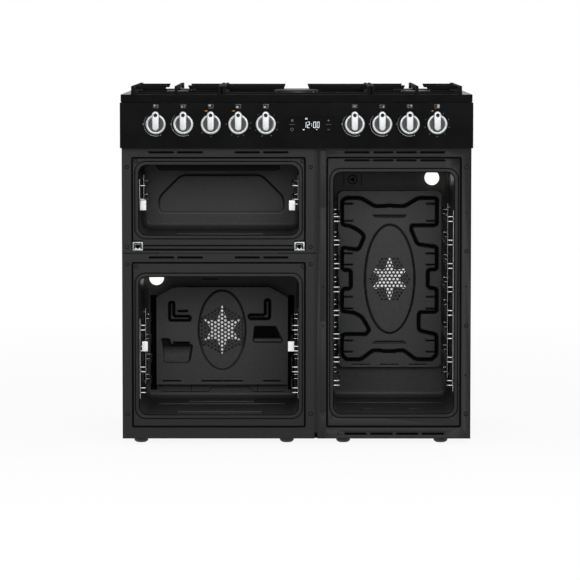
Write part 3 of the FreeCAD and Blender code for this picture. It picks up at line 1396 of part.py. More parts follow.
def cooling_fan():
    """The blower on the rear cover that cools the controls: its case and its rotor."""
    back = COVER_Y
    front = f"({back} - blower_depth)"
    top = f"({SKIRT_Z} - blower_drop)"
    middle_z = f"({top} - blower_height / 2)"
    case = box("blower_case", ("0 - blower_width / 2", "blower_width / 2"), (front, back),
               (f"{top} - blower_height", top))
    chamber = rod("blower_chamber", "y", "blower_rotor_radius + blower_rotor_gap",
                  ("0", f"{front} + blower_wall", middle_z), "blower_depth - 3 * blower_wall")
    inlet = rod("blower_inlet", "y", "blower_inlet_radius", ("0", f"{front} - 1", middle_z),
                "blower_wall + 2")
    bore = rod("blower_bore", "y", "shaft_radius + running_clearance", ("0", front, middle_z),
               "blower_depth - blower_wall")
    keep(cut("blower", case, [chamber, inlet, bore]), "cooling_fan_housing")
    wheel_front = f"({front} + blower_wall + blower_rotor_gap)"
    wheel_length = "(blower_depth - 4 * blower_wall - 2 * blower_rotor_gap)"
    drum = rod("rotor_drum", "y", "blower_rotor_radius", ("0", wheel_front, middle_z), wheel_length)
    eye = rod("rotor_eye", "y", "blower_rotor_radius - blower_rim", ("0", f"{wheel_front} - 1", middle_z),
              f"{wheel_length} - rotor_plate + 1")
    hub = rod("rotor_hub", "y", "hub_radius", ("0", wheel_front, middle_z), wheel_length)
    shaft = rod("rotor_shaft", "y", "shaft_radius", ("0", f"{wheel_front} + {wheel_length} - 1", middle_z),
                "blower_rotor_gap + blower_wall + rotor_shaft_grip")
    keep(fuse("rotor", [cut("rotor_rim", drum, [eye]), hub, shaft]), "cooling_fan_rotor")


def terminal_box():
    """The mains terminal box on the rear cover, with a cable gland underneath."""
    back = f"({COVER_Y} + panel_steel)"
    x = f"({BODY_HALF} - box_inset)"
    bottom = "(underside + box_rise)"
    x_span = (f"{x} - box_width / 2", f"{x} + box_width / 2")
    z_span = (bottom, f"{bottom} + box_height")
    case = box("terminal_case", x_span, (back, f"{back} + box_depth"), z_span)
    room = box("terminal_room", grown(x_span, "0 - box_wall"), (back, f"{back} + box_depth - box_wall"),
               grown(z_span, "0 - box_wall"))
    middle_y = f"({back} + box_depth / 2)"
    gland = rod("terminal_gland", "z", "gland_radius", (x, middle_y, f"{bottom} - gland_length"),
                "gland_length + box_wall")
    bore = rod("terminal_bore", "z", "gland_bore_radius", (x, middle_y, f"{bottom} - gland_length - 1"),
               "gland_length + box_wall + 2")
    shell = fuse("terminal_shell", [cut("terminal_hollow", case, [room]), gland])
    keep(cut("terminal", shell, [bore]), "terminal_box")


# ---------------------------------------------------------------- the build

PIPE_X = f"({RAIL_END_X} + inlet_thread_radius)"
PIPE_Z = f"(({RAIL_Z[0]} + {RAIL_Z[1]}) / 2)"

side_panel("side_panel_left", "-1")
side_panel("side_panel_right", "1")
rear_cover()
base_tray()
levelling_feet()
centre_post()
for oven_name in OVENS:
    front_frame(oven_name)
    oven_liner(oven_name)
mouth_seals()
insulation()
for fan_oven in FAN_X:
    fan_guard(fan_oven)
    fan_impeller(fan_oven)
fan_motors()
ring_elements()
grill_element()
lamp_parts()
side_racks()
hinge_receivers()
hob_plate()
burner_bodies()
for support_side in SUPPORTS:
    burner_heads(support_side)
    pan_support(support_side)
control_fascia()
display()
for knob_number in range(1, 10):
    knob(knob_number)
for spindle_order, knob_number in enumerate(GAS_KNOBS, start=1):
    gas_spindle(spindle_order, knob_number)
controls()
gas_supply()
cooling_fan()
terminal_box()

doc.recompute()

faults = [item.Name for item in doc.Objects if {"Invalid", "Error"} & set(item.State)]
for piece in subparts:
    if piece.Shape.isNull() or not piece.Shape.isValid() or not piece.Shape.Solids:
        faults.append(piece.Label)
if faults:
    raise SystemExit(f"these objects failed: {faults}")

os.makedirs("parts", exist_ok=True)
for piece in subparts:
    piece.Shape.exportStep(f"parts/{piece.Label}.step")
print(f"{len(subparts)} sub-parts written")
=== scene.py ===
import math

import bmesh
import bpy
import numpy as np
from mathutils import Matrix, Vector


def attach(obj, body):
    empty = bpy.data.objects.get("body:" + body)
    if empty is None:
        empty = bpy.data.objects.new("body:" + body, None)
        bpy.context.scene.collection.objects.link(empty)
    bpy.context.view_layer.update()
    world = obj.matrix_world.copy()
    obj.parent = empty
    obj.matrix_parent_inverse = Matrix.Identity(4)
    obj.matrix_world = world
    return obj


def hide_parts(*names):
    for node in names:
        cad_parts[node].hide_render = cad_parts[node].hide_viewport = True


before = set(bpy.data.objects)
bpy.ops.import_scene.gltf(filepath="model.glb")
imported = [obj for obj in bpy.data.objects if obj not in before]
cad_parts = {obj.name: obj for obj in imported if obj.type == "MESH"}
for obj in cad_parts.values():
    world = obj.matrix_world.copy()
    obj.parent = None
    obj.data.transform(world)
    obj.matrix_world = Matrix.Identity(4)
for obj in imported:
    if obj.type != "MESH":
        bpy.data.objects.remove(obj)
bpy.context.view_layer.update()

# ---------------------------------------------------------------- the studio
# A white room with a pale floor, lit by large soft boxes in front, above and at the sides.
# What the eye, gloss and glass see of the room is plain white, and the light stays moderate.


def linear(code):
    """An sRGB colour in six hex digits, as the linear colour that a shader takes."""
    parts = [int(code[place:place + 2], 16) / 255 for place in (0, 2, 4)]
    return [part / 12.92 if part <= 0.04045 else ((part + 0.055) / 1.055) ** 2.4 for part in parts] + [1.0]


def add(material, kind, inputs=None, **settings):
    """One node with its settings, its inputs set to a value or linked to another node."""
    node = material.node_tree.nodes.new(kind)
    for setting, choice in settings.items():
        setattr(node, setting, choice)
    for socket, source in (inputs or {}).items():
        if isinstance(source, bpy.types.NodeSocket):
            material.node_tree.links.new(source, node.inputs[socket])
        else:
            node.inputs[socket].default_value = source
    return node


def seen_directly(material):
    """1 for rays that the eye, gloss or glass sends out, and 0 for light that falls on things."""
    path = add(material, "ShaderNodeLightPath")
    rays = path.outputs
    seen = add(material, "ShaderNodeMath", {0: rays["Is Camera Ray"], 1: rays["Is Glossy Ray"]},
               operation="MAXIMUM")
    return add(material, "ShaderNodeMath", {0: seen.outputs[0], 1: rays["Is Transmission Ray"]},
               operation="MAXIMUM")


room = bpy.data.worlds.new("white_room")
bpy.context.scene.world = room
room.use_nodes = True
room.node_tree.nodes.clear()
ROOM_LIGHT = 0.42
white_wall = add(room, "ShaderNodeBackground", {"Color": linear("ffffff"), "Strength": 1.0})
soft_light = add(room, "ShaderNodeBackground", {"Color": linear("ffffff"), "Strength": ROOM_LIGHT})
either = add(room, "ShaderNodeMixShader", {0: seen_directly(room).outputs[0], 1: soft_light.outputs[0],
                                           2: white_wall.outputs[0]})
add(room, "ShaderNodeOutputWorld", {"Surface": either.outputs[0]})

FLOOR_SIZE = 60.0
SHADOW_NEAR, SHADOW_FAR = 0.8, 3.5
floor_bm = bmesh.new()
bmesh.ops.create_grid(floor_bm, x_segments=1, y_segments=1, size=FLOOR_SIZE)
floor_mesh = bpy.data.meshes.new("studio_floor")
floor_bm.to_mesh(floor_mesh)
floor_bm.free()
studio_floor = bpy.data.objects.new("studio_floor", floor_mesh)
bpy.context.scene.collection.objects.link(studio_floor)
pale = bpy.data.materials.new("pale_floor")
pale.use_nodes = True
pale.node_tree.nodes.clear()
spot = add(pale, "ShaderNodeTexCoord")
away = add(pale, "ShaderNodeVectorMath", {0: spot.outputs["Object"]}, operation="LENGTH")
far = add(pale, "ShaderNodeMapRange", {"Value": away.outputs["Value"], "From Min": SHADOW_NEAR,
                                       "From Max": SHADOW_FAR, "To Min": 0.9, "To Max": 1.0})
bright = add(pale, "ShaderNodeMath", {0: far.outputs[0], 1: seen_directly(pale).outputs[0]},
             operation="MULTIPLY")
matt = add(pale, "ShaderNodeBsdfDiffuse", {"Color": linear("f4f4f4")})
white = add(pale, "ShaderNodeEmission", {"Color": linear("ffffff"), "Strength": 1.0})
mixed = add(pale, "ShaderNodeMixShader", {0: bright.outputs[0], 1: matt.outputs[0], 2: white.outputs[0]})
add(pale, "ShaderNodeOutputMaterial", {"Surface": mixed.outputs[0]})
floor_mesh.materials.append(pale)

# Each soft box: its place, the point that it faces, its width and height, and its power.
SOFT_BOXES = {
    "box_front": ((0.25, -4.6, 1.6), (0.0, 0.0, 0.45), (3.0, 1.4), 116.0),
    "box_left": ((-3.4, -2.2, 1.7), (0.0, 0.0, 0.5), (1.2, 2.2), 30.0),
    "box_right": ((3.4, -2.2, 1.7), (0.0, 0.0, 0.5), (1.2, 2.2), 30.0),
    "box_top": ((0.0, -0.2, 3.2), (0.0, 0.0, 0.9), (2.6, 1.6), 24.0),
}
for name, (place, target, (width, height), power) in SOFT_BOXES.items():
    lamp = bpy.data.lights.new(name, "AREA")
    lamp.shape = "RECTANGLE"
    lamp.size, lamp.size_y, lamp.energy = width, height, power
    holder = bpy.data.objects.new(name, lamp)
    holder.location = place
    holder.rotation_euler = (Vector(target) - Vector(place)).to_track_quat("-Z", "Y").to_euler()
    bpy.context.scene.collection.objects.link(holder)

# The camera that was fitted to the photograph: its lens and film width in millimetres, its
# place in metres, and how many degrees it looks down and to the side.
FOCAL, FILM_WIDE, CLIP_END = 207.1, 36.0, 200.0
CAMERA_PLACE, CAMERA_DOWN, CAMERA_ASIDE = (0.0, -8.784, 1.0756), 4.536, 0.112
lens = bpy.data.cameras.new("camera")
lens.lens, lens.sensor_width, lens.clip_end = FOCAL, FILM_WIDE, CLIP_END
camera = bpy.data.objects.new("camera", lens)
camera.location = CAMERA_PLACE
camera.rotation_euler = (math.radians(90 - CAMERA_DOWN), 0.0, math.radians(CAMERA_ASIDE))
bpy.context.scene.collection.objects.link(camera)
bpy.context.scene.camera = camera
bpy.context.scene.view_settings.view_transform = "Standard"

# ---------------------------------------------------------------- the outer casing
# Two folded side sheets and the post between the ovens are steel with a satin charcoal
# enamel, baked on and slightly pebbled. The back sheet and the floor tray are bare
# galvanised steel with its zinc spangle, held by round-headed screws.

MM = 0.001


def surface(name, hexes, roughness, grain, bump=0.0, stretch=(1, 1, 1), **numbers):
    """A material whose colour, roughness and relief vary over a grain given in millimetres."""
    material = bpy.data.materials.new(name)
    material.use_nodes = True
    shader = material.node_tree.nodes["Principled BSDF"]
    for socket, number in numbers.items():
        shader.inputs[socket.replace("_", " ")].default_value = number
    where = add(material, "ShaderNodeTexCoord").outputs["Object"]
    scale = [part / (grain * MM) for part in stretch]
    where = add(material, "ShaderNodeMapping", {"Vector": where, "Scale": scale}).outputs[0]
    noise = add(material, "ShaderNodeTexNoise", {"Vector": where, "Scale": 1.0, "Detail": 3.0})
    pattern = noise.outputs["Fac"]
    ranged = add(material, "ShaderNodeMapRange", {"Value": pattern, "From Min": 0.3, "From Max": 0.7})
    sharper = ranged.outputs[0]
    tint = add(material, "ShaderNodeMix", {0: sharper, 6: linear(hexes[0]), 7: linear(hexes[1])},
               data_type="RGBA")
    links = material.node_tree.links
    links.new(tint.outputs[2], shader.inputs["Base Color"])
    rough = add(material, "ShaderNodeMapRange", {"Value": sharper, "To Min": roughness[0],
                                                 "To Max": roughness[1]})
    links.new(rough.outputs[0], shader.inputs["Roughness"])
    if bump:
        relief = add(material, "ShaderNodeBump", {"Height": pattern, "Strength": 1.0, "Distance": bump * MM})
        links.new(relief.outputs[0], shader.inputs["Normal"])
    return material


def dress(material, *nodes):
    """Give CAD nodes that keep their own shape their material."""
    for node in nodes:
        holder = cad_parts[node]
        if not holder.material_slots:
            holder.data.materials.append(material)
        for slot in holder.material_slots:
            slot.link = "OBJECT"
            slot.material = material


def make(name, bm, material, body="root", replaces=(), crease=35):
    """Turn a bmesh in millimetres into a piece that rides on a body."""
    bmesh.ops.transform(bm, matrix=Matrix.Scale(MM, 4), verts=bm.verts)
    mesh = bpy.data.meshes.new(name)
    bm.to_mesh(mesh)
    bm.free()
    mesh.shade_smooth()
    mesh.set_sharp_from_angle(angle=math.radians(crease))
    mesh.materials.append(material)
    piece = bpy.data.objects.new(name, mesh)
    bpy.context.scene.collection.objects.link(piece)
    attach(piece, body)
    if replaces:
        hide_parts(*replaces)
    return piece


def softened(node, edge, steps=2):
    """A CAD node's mesh merged into whole faces, in millimetres, with its sharp edges rolled."""
    bm = bmesh.new()
    bm.from_mesh(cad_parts[node].data)
    bmesh.ops.transform(bm, matrix=Matrix.Scale(1 / MM, 4), verts=bm.verts)
    bmesh.ops.remove_doubles(bm, verts=bm.verts, dist=0.002)
    bmesh.ops.dissolve_limit(bm, angle_limit=math.radians(0.5), verts=bm.verts, edges=bm.edges)
    sharp = [rim for rim in bm.edges if rim.is_manifold and rim.calc_face_angle() > math.radians(40)]
    bmesh.ops.bevel(bm, geom=sharp, offset=edge, offset_type="OFFSET", segments=steps, profile=0.5,
                    affect="EDGES", material=-1, clamp_overlap=True)
    return bm


def rolled(name, node, edge, material, body="root", steps=2, crease=None):
    """A CAD node with rolled edges, shown in its place, its flat faces kept flat to the eye."""
    return make(name, softened(node, edge, steps), material, body, (node,), crease=crease or 40 / steps)


def lathe(bm, profile, middle, along="y", steps=32):
    """A turned form: a profile of radius and place along an axis, spun about that axis."""
    turn = {"x": Matrix.Rotation(math.radians(90), 4, "Y"), "y": Matrix.Rotation(math.radians(-90), 4, "X"),
            "z": Matrix.Identity(4)}[along]
    turned = bmesh.new()
    points = [turned.verts.new((radius, 0.0, height)) for radius, height in profile]
    edges = [turned.edges.new(pair) for pair in zip(points, points[1:])]
    bmesh.ops.spin(turned, geom=points + edges, cent=(0, 0, 0), axis=(0, 0, 1), angle=math.tau, steps=steps,
                   use_merge=True)
    bmesh.ops.remove_doubles(turned, verts=turned.verts, dist=0.0005)
    bmesh.ops.recalc_face_normals(turned, faces=turned.faces)
    bmesh.ops.transform(turned, matrix=Matrix.Translation(middle) @ turn, verts=turned.verts)
    form = bpy.data.meshes.new("turned_form")
    turned.to_mesh(form)
    turned.free()
    bm.from_mesh(form)
    bpy.data.meshes.remove(form)


# Satin enamel on steel gives a low even sheen, with a faint pebble in it.
body_enamel = surface("satin_charcoal_enamel", ("1a1a1b", "202021"), (0.42, 0.50), 0.9, bump=0.02,
                      Specular_IOR_Level=0.12)
# Hot-dipped zinc gives pale patches of spangle, half bright and half dull.
galvanised = surface("galvanised_sheet", ("8d9296", "b4b8bb"), (0.30, 0.48), 14.0, Metallic=0.85)
dress(body_enamel, "side_panel_left", "side_panel_right", "centre_post")
dress(galvanised, "rear_cover", "base_tray", "cooling_fan_housing")

# ---------------------------------------------------------------- the front frames
# Three frames pressed from steel sheet stand round the oven mouths, in the same satin
# enamel: thick stiles, a sunk face for the seal, vent slots, and screws into the casing.

SCREW_HEAD = [(0.0, -1.5), (1.5, -1.5), (2.0, -1.4), (3.4, -1.0), (4.1, -0.4), (4.2, 0.0)]
FRAME_Y, SUNK_Y = -259.0, -255.0
SKIN = 0.06
SHADE_STRIP_FRONT, SHADE_STRIP_BACK = -253.45, -252.9


def block(bm, low, high, edge=0.0, steps=2):
    """A block between two corners, with its edges rolled."""
    size = [top - bottom for bottom, top in zip(low, high)]
    middle = [(top + bottom) / 2 for bottom, top in zip(low, high)]
    shape = Matrix.Translation(middle) @ Matrix.Diagonal((*size, 1.0))
    cube = bmesh.ops.create_cube(bm, size=1.0, matrix=shape)
    if edge:
        rims = list({rim for vert in cube["verts"] for rim in vert.link_edges})
        bmesh.ops.bevel(bm, geom=rims, offset=edge, offset_type="OFFSET", segments=steps, profile=0.5,
                        affect="EDGES", material=-1)


def rounded_face(bm, x_span, z_span, y, radius, steps=6):
    """An upright face with round corners."""
    middle = ((x_span[0] + x_span[1]) / 2, y, (z_span[0] + z_span[1]) / 2)
    size = Matrix.Diagonal((x_span[1] - x_span[0], z_span[1] - z_span[0], 1.0, 1.0))
    stand = Matrix.Rotation(math.radians(90), 4, "X")
    made = bmesh.ops.create_grid(bm, x_segments=1, y_segments=1, size=0.5,
                                 matrix=Matrix.Translation(middle) @ stand @ size)
    if radius:
        bmesh.ops.bevel(bm, geom=made["verts"], offset=radius, segments=steps, profile=0.5, affect="VERTICES",
                        material=-1)
    return max((face for face in bm.faces if abs(face.calc_center_median().y - y) < 0.01),
               key=lambda face: face.calc_area())


def band(bm, x_span, z_span, y, radius, width):
    """A flat band just inside a rounded outline."""
    face = rounded_face(bm, x_span, z_span, y, radius)
    bmesh.ops.inset_individual(bm, faces=[face], thickness=width, depth=0.0, use_even_offset=True)
    bmesh.ops.delete(bm, geom=[face], context="FACES_ONLY")


def stroke(bm, start, end, width, y):
    """A flat upright stroke between two places."""
    start, end = Vector((start[0], y, start[1])), Vector((end[0], y, end[1]))
    run = end - start
    turn = Matrix.Rotation(math.atan2(run.x, run.z), 4, "Y")
    shape = Matrix.Translation((start + end) / 2) @ turn @ Matrix.Diagonal(
        (width, 1.0, run.length, 1.0)) @ Matrix.Rotation(math.radians(90), 4, "X")
    bmesh.ops.create_grid(bm, x_segments=1, y_segments=1, size=0.5, matrix=shape)


def spread(span, margin):
    """A span made longer at both of its ends."""
    return span[0] - margin, span[1] + margin


def screws(name, shade_bands, places, y):
    """Enamelled round-headed screws on a face that looks forwards, each ringed by a band of painted shade."""
    heads = bmesh.new()
    for x, z in places:
        lathe(heads, SCREW_HEAD, (x, y, z), steps=16)
        lathe(shade_bands, [(4.2, 0.0), (5.5, 0.0)], (x, y - SKIN, z), steps=20)
    make(name, heads, body_enamel)


# Unlit space behind a gap gives almost no light back.
line_shadow = surface("unlit_gap", ("060606", "0a0a0a"), (0.8, 0.9), 2.0, Specular_IOR_Level=0.03)
MOUTHS = {"grill": ((-413.0, 14.0), (531.0, 728.0)), "left": ((-413.0, 14.0), (68.0, 441.5)),
          "right": ((86.0, 413.0), (70.5, 710.0))}
RECESS_SIDE = 10.0
RECESS_BELOW_ABOVE = {"grill": (31.0, 12.5), "left": (24.0, 30.0), "right": (26.0, 31.0)}
SEAL_WIDE, MOUTH_CORNER = 8.0, 26.0
# Painted shade: near-black bands round each recess, on both sides of each seal, along the seams and round the
# screws.
shade_bands = bmesh.new()
for oven, (x_span, z_span) in MOUTHS.items():
    rolled(f"frame_{oven}", f"front_frame_{oven}", 0.8, body_enamel)
    below, above = RECESS_BELOW_ABOVE[oven]
    recess_z = (z_span[0] - below, z_span[1] + above)
    band(shade_bands, spread(x_span, RECESS_SIDE - 0.1), spread(recess_z, -0.1), SUNK_Y - SKIN, 6.0, 5.0)
    band(shade_bands, spread(x_span, 2.2), spread(z_span, 2.2), SUNK_Y - 2 * SKIN, MOUTH_CORNER + 2.2, 3.4)
    band(shade_bands, spread(x_span, 0.4 - SEAL_WIDE), spread(z_span, 0.4 - SEAL_WIDE), SUNK_Y - 1.2,
         MOUTH_CORNER - SEAL_WIDE / 2, 2.2)
for start, end, z, width, y in ((-391.5, -7.5, 513.0, 4.0, SUNK_Y), (-447.0, -352.0, 494.0, 1.8, FRAME_Y),
                                (-47.0, 50.0, 494.0, 1.8, FRAME_Y)):
    stroke(shade_bands, (start, z), (end, z), width, y - 2 * SKIN)
stile_screws = [(x, z) for x in (-434.0, 36.5) for z in (714.0, 509.5, 465.5, 79.5)]
stile_screws += [(x, z) for x in (68.0, 435.0) for z in (714.0, 499.0, 307.5, 79.5)]
screws("frame_screws", shade_bands, stile_screws, FRAME_Y)
sunk_screws = [(-411.2, 729.6), (15.2, 729.6), (-411.0, 459.0), (16.0, 459.0)]
screws("sunk_face_screws", shade_bands, sunk_screws, SUNK_Y)
# Behind the vent slots, black strips stand for the unlit space there: painted shade.
for (start, end), z, tall in (((-440.0, 40.0), 751.0, 12.0), ((-440.0, 40.0), 482.3, 11.0),
                              ((75.0, 440.0), 751.0, 12.0), ((75.0, 440.0), 730.5, 12.0)):
    block(shade_bands, (start, SHADE_STRIP_FRONT, z - tall / 2), (end, SHADE_STRIP_BACK, z + tall / 2))
make("frame_shade_bands", shade_bands, line_shadow)

# The gap beside the tall oven's column is closed by a hinge strip in four lengths.
STRIP_X, STRIP_Y = (60.0, 75.5), (-259.8, -258.6)
strip = bmesh.new()
for low, high in ((611.5, 757.0), (320.0, 610.5), (84.0, 319.0), (18.5, 83.0)):
    block(strip, (STRIP_X[0], STRIP_Y[0], low), (STRIP_X[1], STRIP_Y[1], high), 0.5)
make("hinge_strip", strip, body_enamel)

# Small punched holes in the tall oven's frame take the clips of its door seal; each is drawn as a near-black
# dish of painted shade.
hole_shade = bmesh.new()
wide_holes = [(x, z) for x in (85.0, 419.0) for z in (623.8, 389.0, 154.8)]
narrow_holes = [(434.0, 598.0), (434.0, 408.0), (434.0, 181.0), (68.5, 408.0)]
foot_holes = [(80.5, 28.5), (107.0, 28.5)]
for places, radius, rim, y in ((wide_holes, 1.9, 2.4, SUNK_Y - 0.05), (narrow_holes, 1.6, 2.0, FRAME_Y - 0.9),
                               (foot_holes, 1.6, 2.0, FRAME_Y - 0.05)):
    for x, z in places:
        lathe(hole_shade, [(0.0, 0.0), (radius, 0.0), (rim, -0.3)], (x, y, z), steps=12)
make("clip_hole_shade", hole_shade, line_shadow)

# ---------------------------------------------------------------- the seals
# A hollow rubber cord lies round each mouth, on the sunk face of its frame. It is moulded
# in one length with round corners, and hooks into the frame.

# Moulded rubber gives a soft broad highlight on dull black.
seal_rubber = surface("heat_proof_rubber", ("161617", "1e1e1f"), (0.42, 0.55), 1.6, bump=0.05,
                      Specular_IOR_Level=0.14)
rolled("seals", "mouth_seals", 1.7, seal_rubber, steps=4, crease=32)

# ---------------------------------------------------------------- the oven liners
# Each cavity is drawn and welded from thin steel sheet, then glazed inside and out with
# dark grey enamel that carries fine pale specks. Its back corners are round, and its
# floor and walls have shallow pressed ribs that keep the hot sheet from buckling.

LINER_SHEET = 1.2
CORNER, BACK_ROUND = 26.0, 16.0
CAVITIES = {
    "grill": ((-409.0, 10.0), (535.0, 724.0), 62.5),
    "left": ((-409.0, 10.0), (72.0, 437.5), 165.5),
    "right": ((90.0, 409.0), (74.5, 706.0), 165.5),
}
LINER_FRONT = -253.5


def oven_enamel(name, hexes, speck_code):
    """Glazed enamel with fine pale specks, dull and black where painted shade lies in its grooves."""
    material = surface(name, hexes, (0.30, 0.42), 6.0, bump=0.04, Specular_IOR_Level=0.1)
    shader = material.node_tree.nodes["Principled BSDF"]
    where = add(material, "ShaderNodeTexCoord").outputs["Object"]
    dots = add(material, "ShaderNodeTexVoronoi", {"Vector": where, "Scale": 1 / (2.6 * MM)})
    speck = add(material, "ShaderNodeMapRange", {"Value": dots.outputs["Distance"], "From Min": 0.10,
                                                 "From Max": 0.16, "To Min": 0.30, "To Max": 0.0})
    glaze = shader.inputs["Base Color"].links[0].from_socket
    specked = add(material, "ShaderNodeMix", {0: speck.outputs[0], 6: glaze, 7: linear(speck_code)},
                  data_type="RGBA")
    # Painted shade: a per-point amount from the pressings turns the enamel near black and dull in grooves and
    # pockets.
    groove_shade = add(material, "ShaderNodeAttribute", attribute_name="groove_shade").outputs["Fac"]
    shade_painted = add(material, "ShaderNodeMix", {0: groove_shade, 6: specked.outputs[2], 7: linear("040404")},
                 data_type="RGBA")
    gloss = shader.inputs["Roughness"].links[0].from_socket
    dulled = add(material, "ShaderNodeMath", {0: gloss, 1: groove_shade}, operation="MAXIMUM")
    material.node_tree.links.new(shade_painted.outputs[2], shader.inputs["Base Color"])
    material.node_tree.links.new(dulled.outputs[0], shader.inputs["Roughness"])
    return material


# Fired ground-coat enamel gives a dark grey low gloss, flecked like granite.
cavity_enamel = oven_enamel("speckled_liner_enamel", ("2d2d2e", "343435"), "656566")


def cavity_shell(oven, open_back=False):
    """One liner: a rounded box open at the front, its back corners round, made into a sheet."""
    x_span, z_span, back = CAVITIES[oven]
    bm = bmesh.new()
    mouth = rounded_face(bm, x_span, z_span, LINER_FRONT, CORNER)
    rim = list(mouth.edges)
    walls = bmesh.ops.extrude_edge_only(bm, edges=rim)["geom"]
    ends = [vert for vert in walls if isinstance(vert, bmesh.types.BMVert)]
    bmesh.ops.translate(bm, verts=ends, vec=(0.0, back - LINER_FRONT, 0.0))
    bmesh.ops.delete(bm, geom=[mouth], context="FACES_ONLY")
    back_edges = [edge for edge in bm.edges if all(abs(vert.co.y - back) < 0.01 for vert in edge.verts)]
    bmesh.ops.contextual_create(bm, geom=back_edges)
    bmesh.ops.bevel(bm, geom=back_edges, offset=BACK_ROUND, offset_type="OFFSET", segments=5, profile=0.5,
                    affect="EDGES", material=-1)
    if open_back:
        flat = [face for face in bm.faces if face.calc_center_median().y > back - 0.01]
        bmesh.ops.delete(bm, geom=flat, context="FACES")
    return bm


def turned_inwards(bm):
    """Make every face of an open shell look into it, and give the sheet its thickness."""
    bmesh.ops.recalc_face_normals(bm, faces=bm.faces)
    middle = sum((vert.co for vert in bm.verts), Vector()) / len(bm.verts)
    biggest = max(bm.faces, key=lambda face: face.calc_area())
    if biggest.normal.dot(middle - biggest.calc_center_median()) < 0:
        bmesh.ops.reverse_faces(bm, faces=bm.faces)
    bmesh.ops.solidify(bm, geom=bm.faces[:], thickness=LINER_SHEET)


for oven in CAVITIES:
    shell = cavity_shell(oven, open_back=oven == "grill")
    turned_inwards(shell)
    make(f"cavity_{oven}", shell, cavity_enamel, replaces=(f"{oven}_liner",))

# Each rib in the cavity floors: its two corners and how far its edges are rolled.
RIBS = [((-312.0, -150.0, 532.0), (-86.0, -134.0, 539.0), 3.2),
        ((-312.0, -160.0, 69.0), (-88.0, -142.0, 76.5), 3.6),
        ((-368.0, 26.0, 69.0), (-30.0, 40.0, 76.5), 3.4),
        ((-290.0, 66.0, 69.0), (-110.0, 108.0, 78.0), 3.8),
        ((106.0, 40.0, 71.5), (394.0, 52.0, 77.5), 2.8)]
RIBS += [((186.0 + 14.0 * rib, 62.0, 72.5), (193.0 + 14.0 * rib, 70.0, 76.5), 1.8) for rib in range(9)]
RIBS += [((x, -92.0, 72.5), (x + 24.0, -85.0, 76.3), 1.6) for x in (176.0, 294.0)]
ribs = bmesh.new()
for low, high, edge in RIBS:
    block(ribs, low, high, edge, steps=4)
make("floor_ribs", ribs, cavity_enamel)

# Mineral wool gives no shine at all, only a rough yellow-brown mat.
wool = surface("mineral_wool", ("b3a169", "d6c68d"), (0.9, 1.0), 5.0, bump=1.2, Specular_IOR_Level=0.1)
dress(wool, "insulation")

# ---------------------------------------------------------------- the pressed back wall and covers
# The grill oven's back wall and the two covers in front of the fans are pressed sheet with
# deep grooves, pockets and an oval round the fan, and then glazed like the liners, with painted
# shade in the grooves and pockets. The fan draws the air in through a field of small round holes
# in the middle of the oval.

PLATE_SHEET = 1.3
HOLE_RADIUS, HOLE_PITCH = 3.4, 10.4
# The pressed sheets take a slightly paler copy of the liners' enamel, painted light, so they stand out from
# the walls.
cover_enamel = oven_enamel("pressed_cover_enamel", ("393a3a", "404041"), "727273")


def bent(corners, radius, closed=False, steps=5):
    """A line through corners, each of them rounded."""
    corners = [Vector(corner) for corner in corners]
    count = len(corners)
    line = []
    for index, corner in enumerate(corners):
        if not closed and index in (0, count - 1):
            line.append(corner)
            continue
        before, after = corners[index - 1], corners[(index + 1) % count]
        reach = min(radius, (before - corner).length * 0.45, (after - corner).length * 0.45)
        start = corner + (before - corner).normalized() * reach
        end = corner + (after - corner).normalized() * reach
        for step in range(steps + 1):
            share = step / steps
            line.append((1 - share) ** 2 * start + 2 * share * (1 - share) * corner + share ** 2 * end)
    if closed:
        line.append(line[0])
    return np.array([tuple(point) for point in line])


def reach_of(points, line):
    """Each point's distance from a line of short straight runs."""
    nearest = np.full(len(points), 1e9)
    for start, end in zip(line, line[1:]):
        run = end - start
        share = np.clip(((points - start) @ run) / max(run @ run, 1e-9), 0, 1)
        nearest = np.minimum(nearest, np.linalg.norm(points - start - share[:, None] * run, axis=1))
    return nearest


def within(points, line):
    """Which points lie inside a closed line."""
    inside = np.zeros(len(points), bool)
    for (x0, z0), (x1, z1) in zip(line, line[1:]):
        crosses = (z0 > points[:, 1]) != (z1 > points[:, 1])
        at = x0 + (points[:, 1] - z0) * (x1 - x0) / ((z1 - z0) or 1e-9)
        inside ^= crosses & (points[:, 0] < at)
    return inside


def fall(distance, edge, wall=1.8):
    """1 inside an edge and 0 outside it, with a soft wall between."""
    share = np.clip((edge + wall / 2 - distance) / wall, 0, 1)
    return share * share * (3 - 2 * share)


def groove(points, line, pressed, shade_painted):
    """A groove's depth and painted shade at each point, from the width and amount of each."""
    away = reach_of(points, line)
    return np.array([amount * fall(away, width / 2) for width, amount in (pressed, shade_painted)])


def past(points, line):
    """How far each point lies outside a closed line, less than nothing inside it."""
    return np.where(within(points, line), -1, 1) * reach_of(points, line)


def pocket(points, line, wall=3.0):
    """1 on the flat floor of a pocket inside a closed line, 0 outside it, with a wall between."""
    return fall(past(points, line), -wall / 2, wall)


def oval_line(middle, half_width, half_height, steps=72):
    """A closed upright oval."""
    turns = np.linspace(0, math.tau, steps + 1)
    return np.stack([middle[0] + half_width * np.cos(turns), middle[1] + half_height * np.sin(turns)], axis=1)


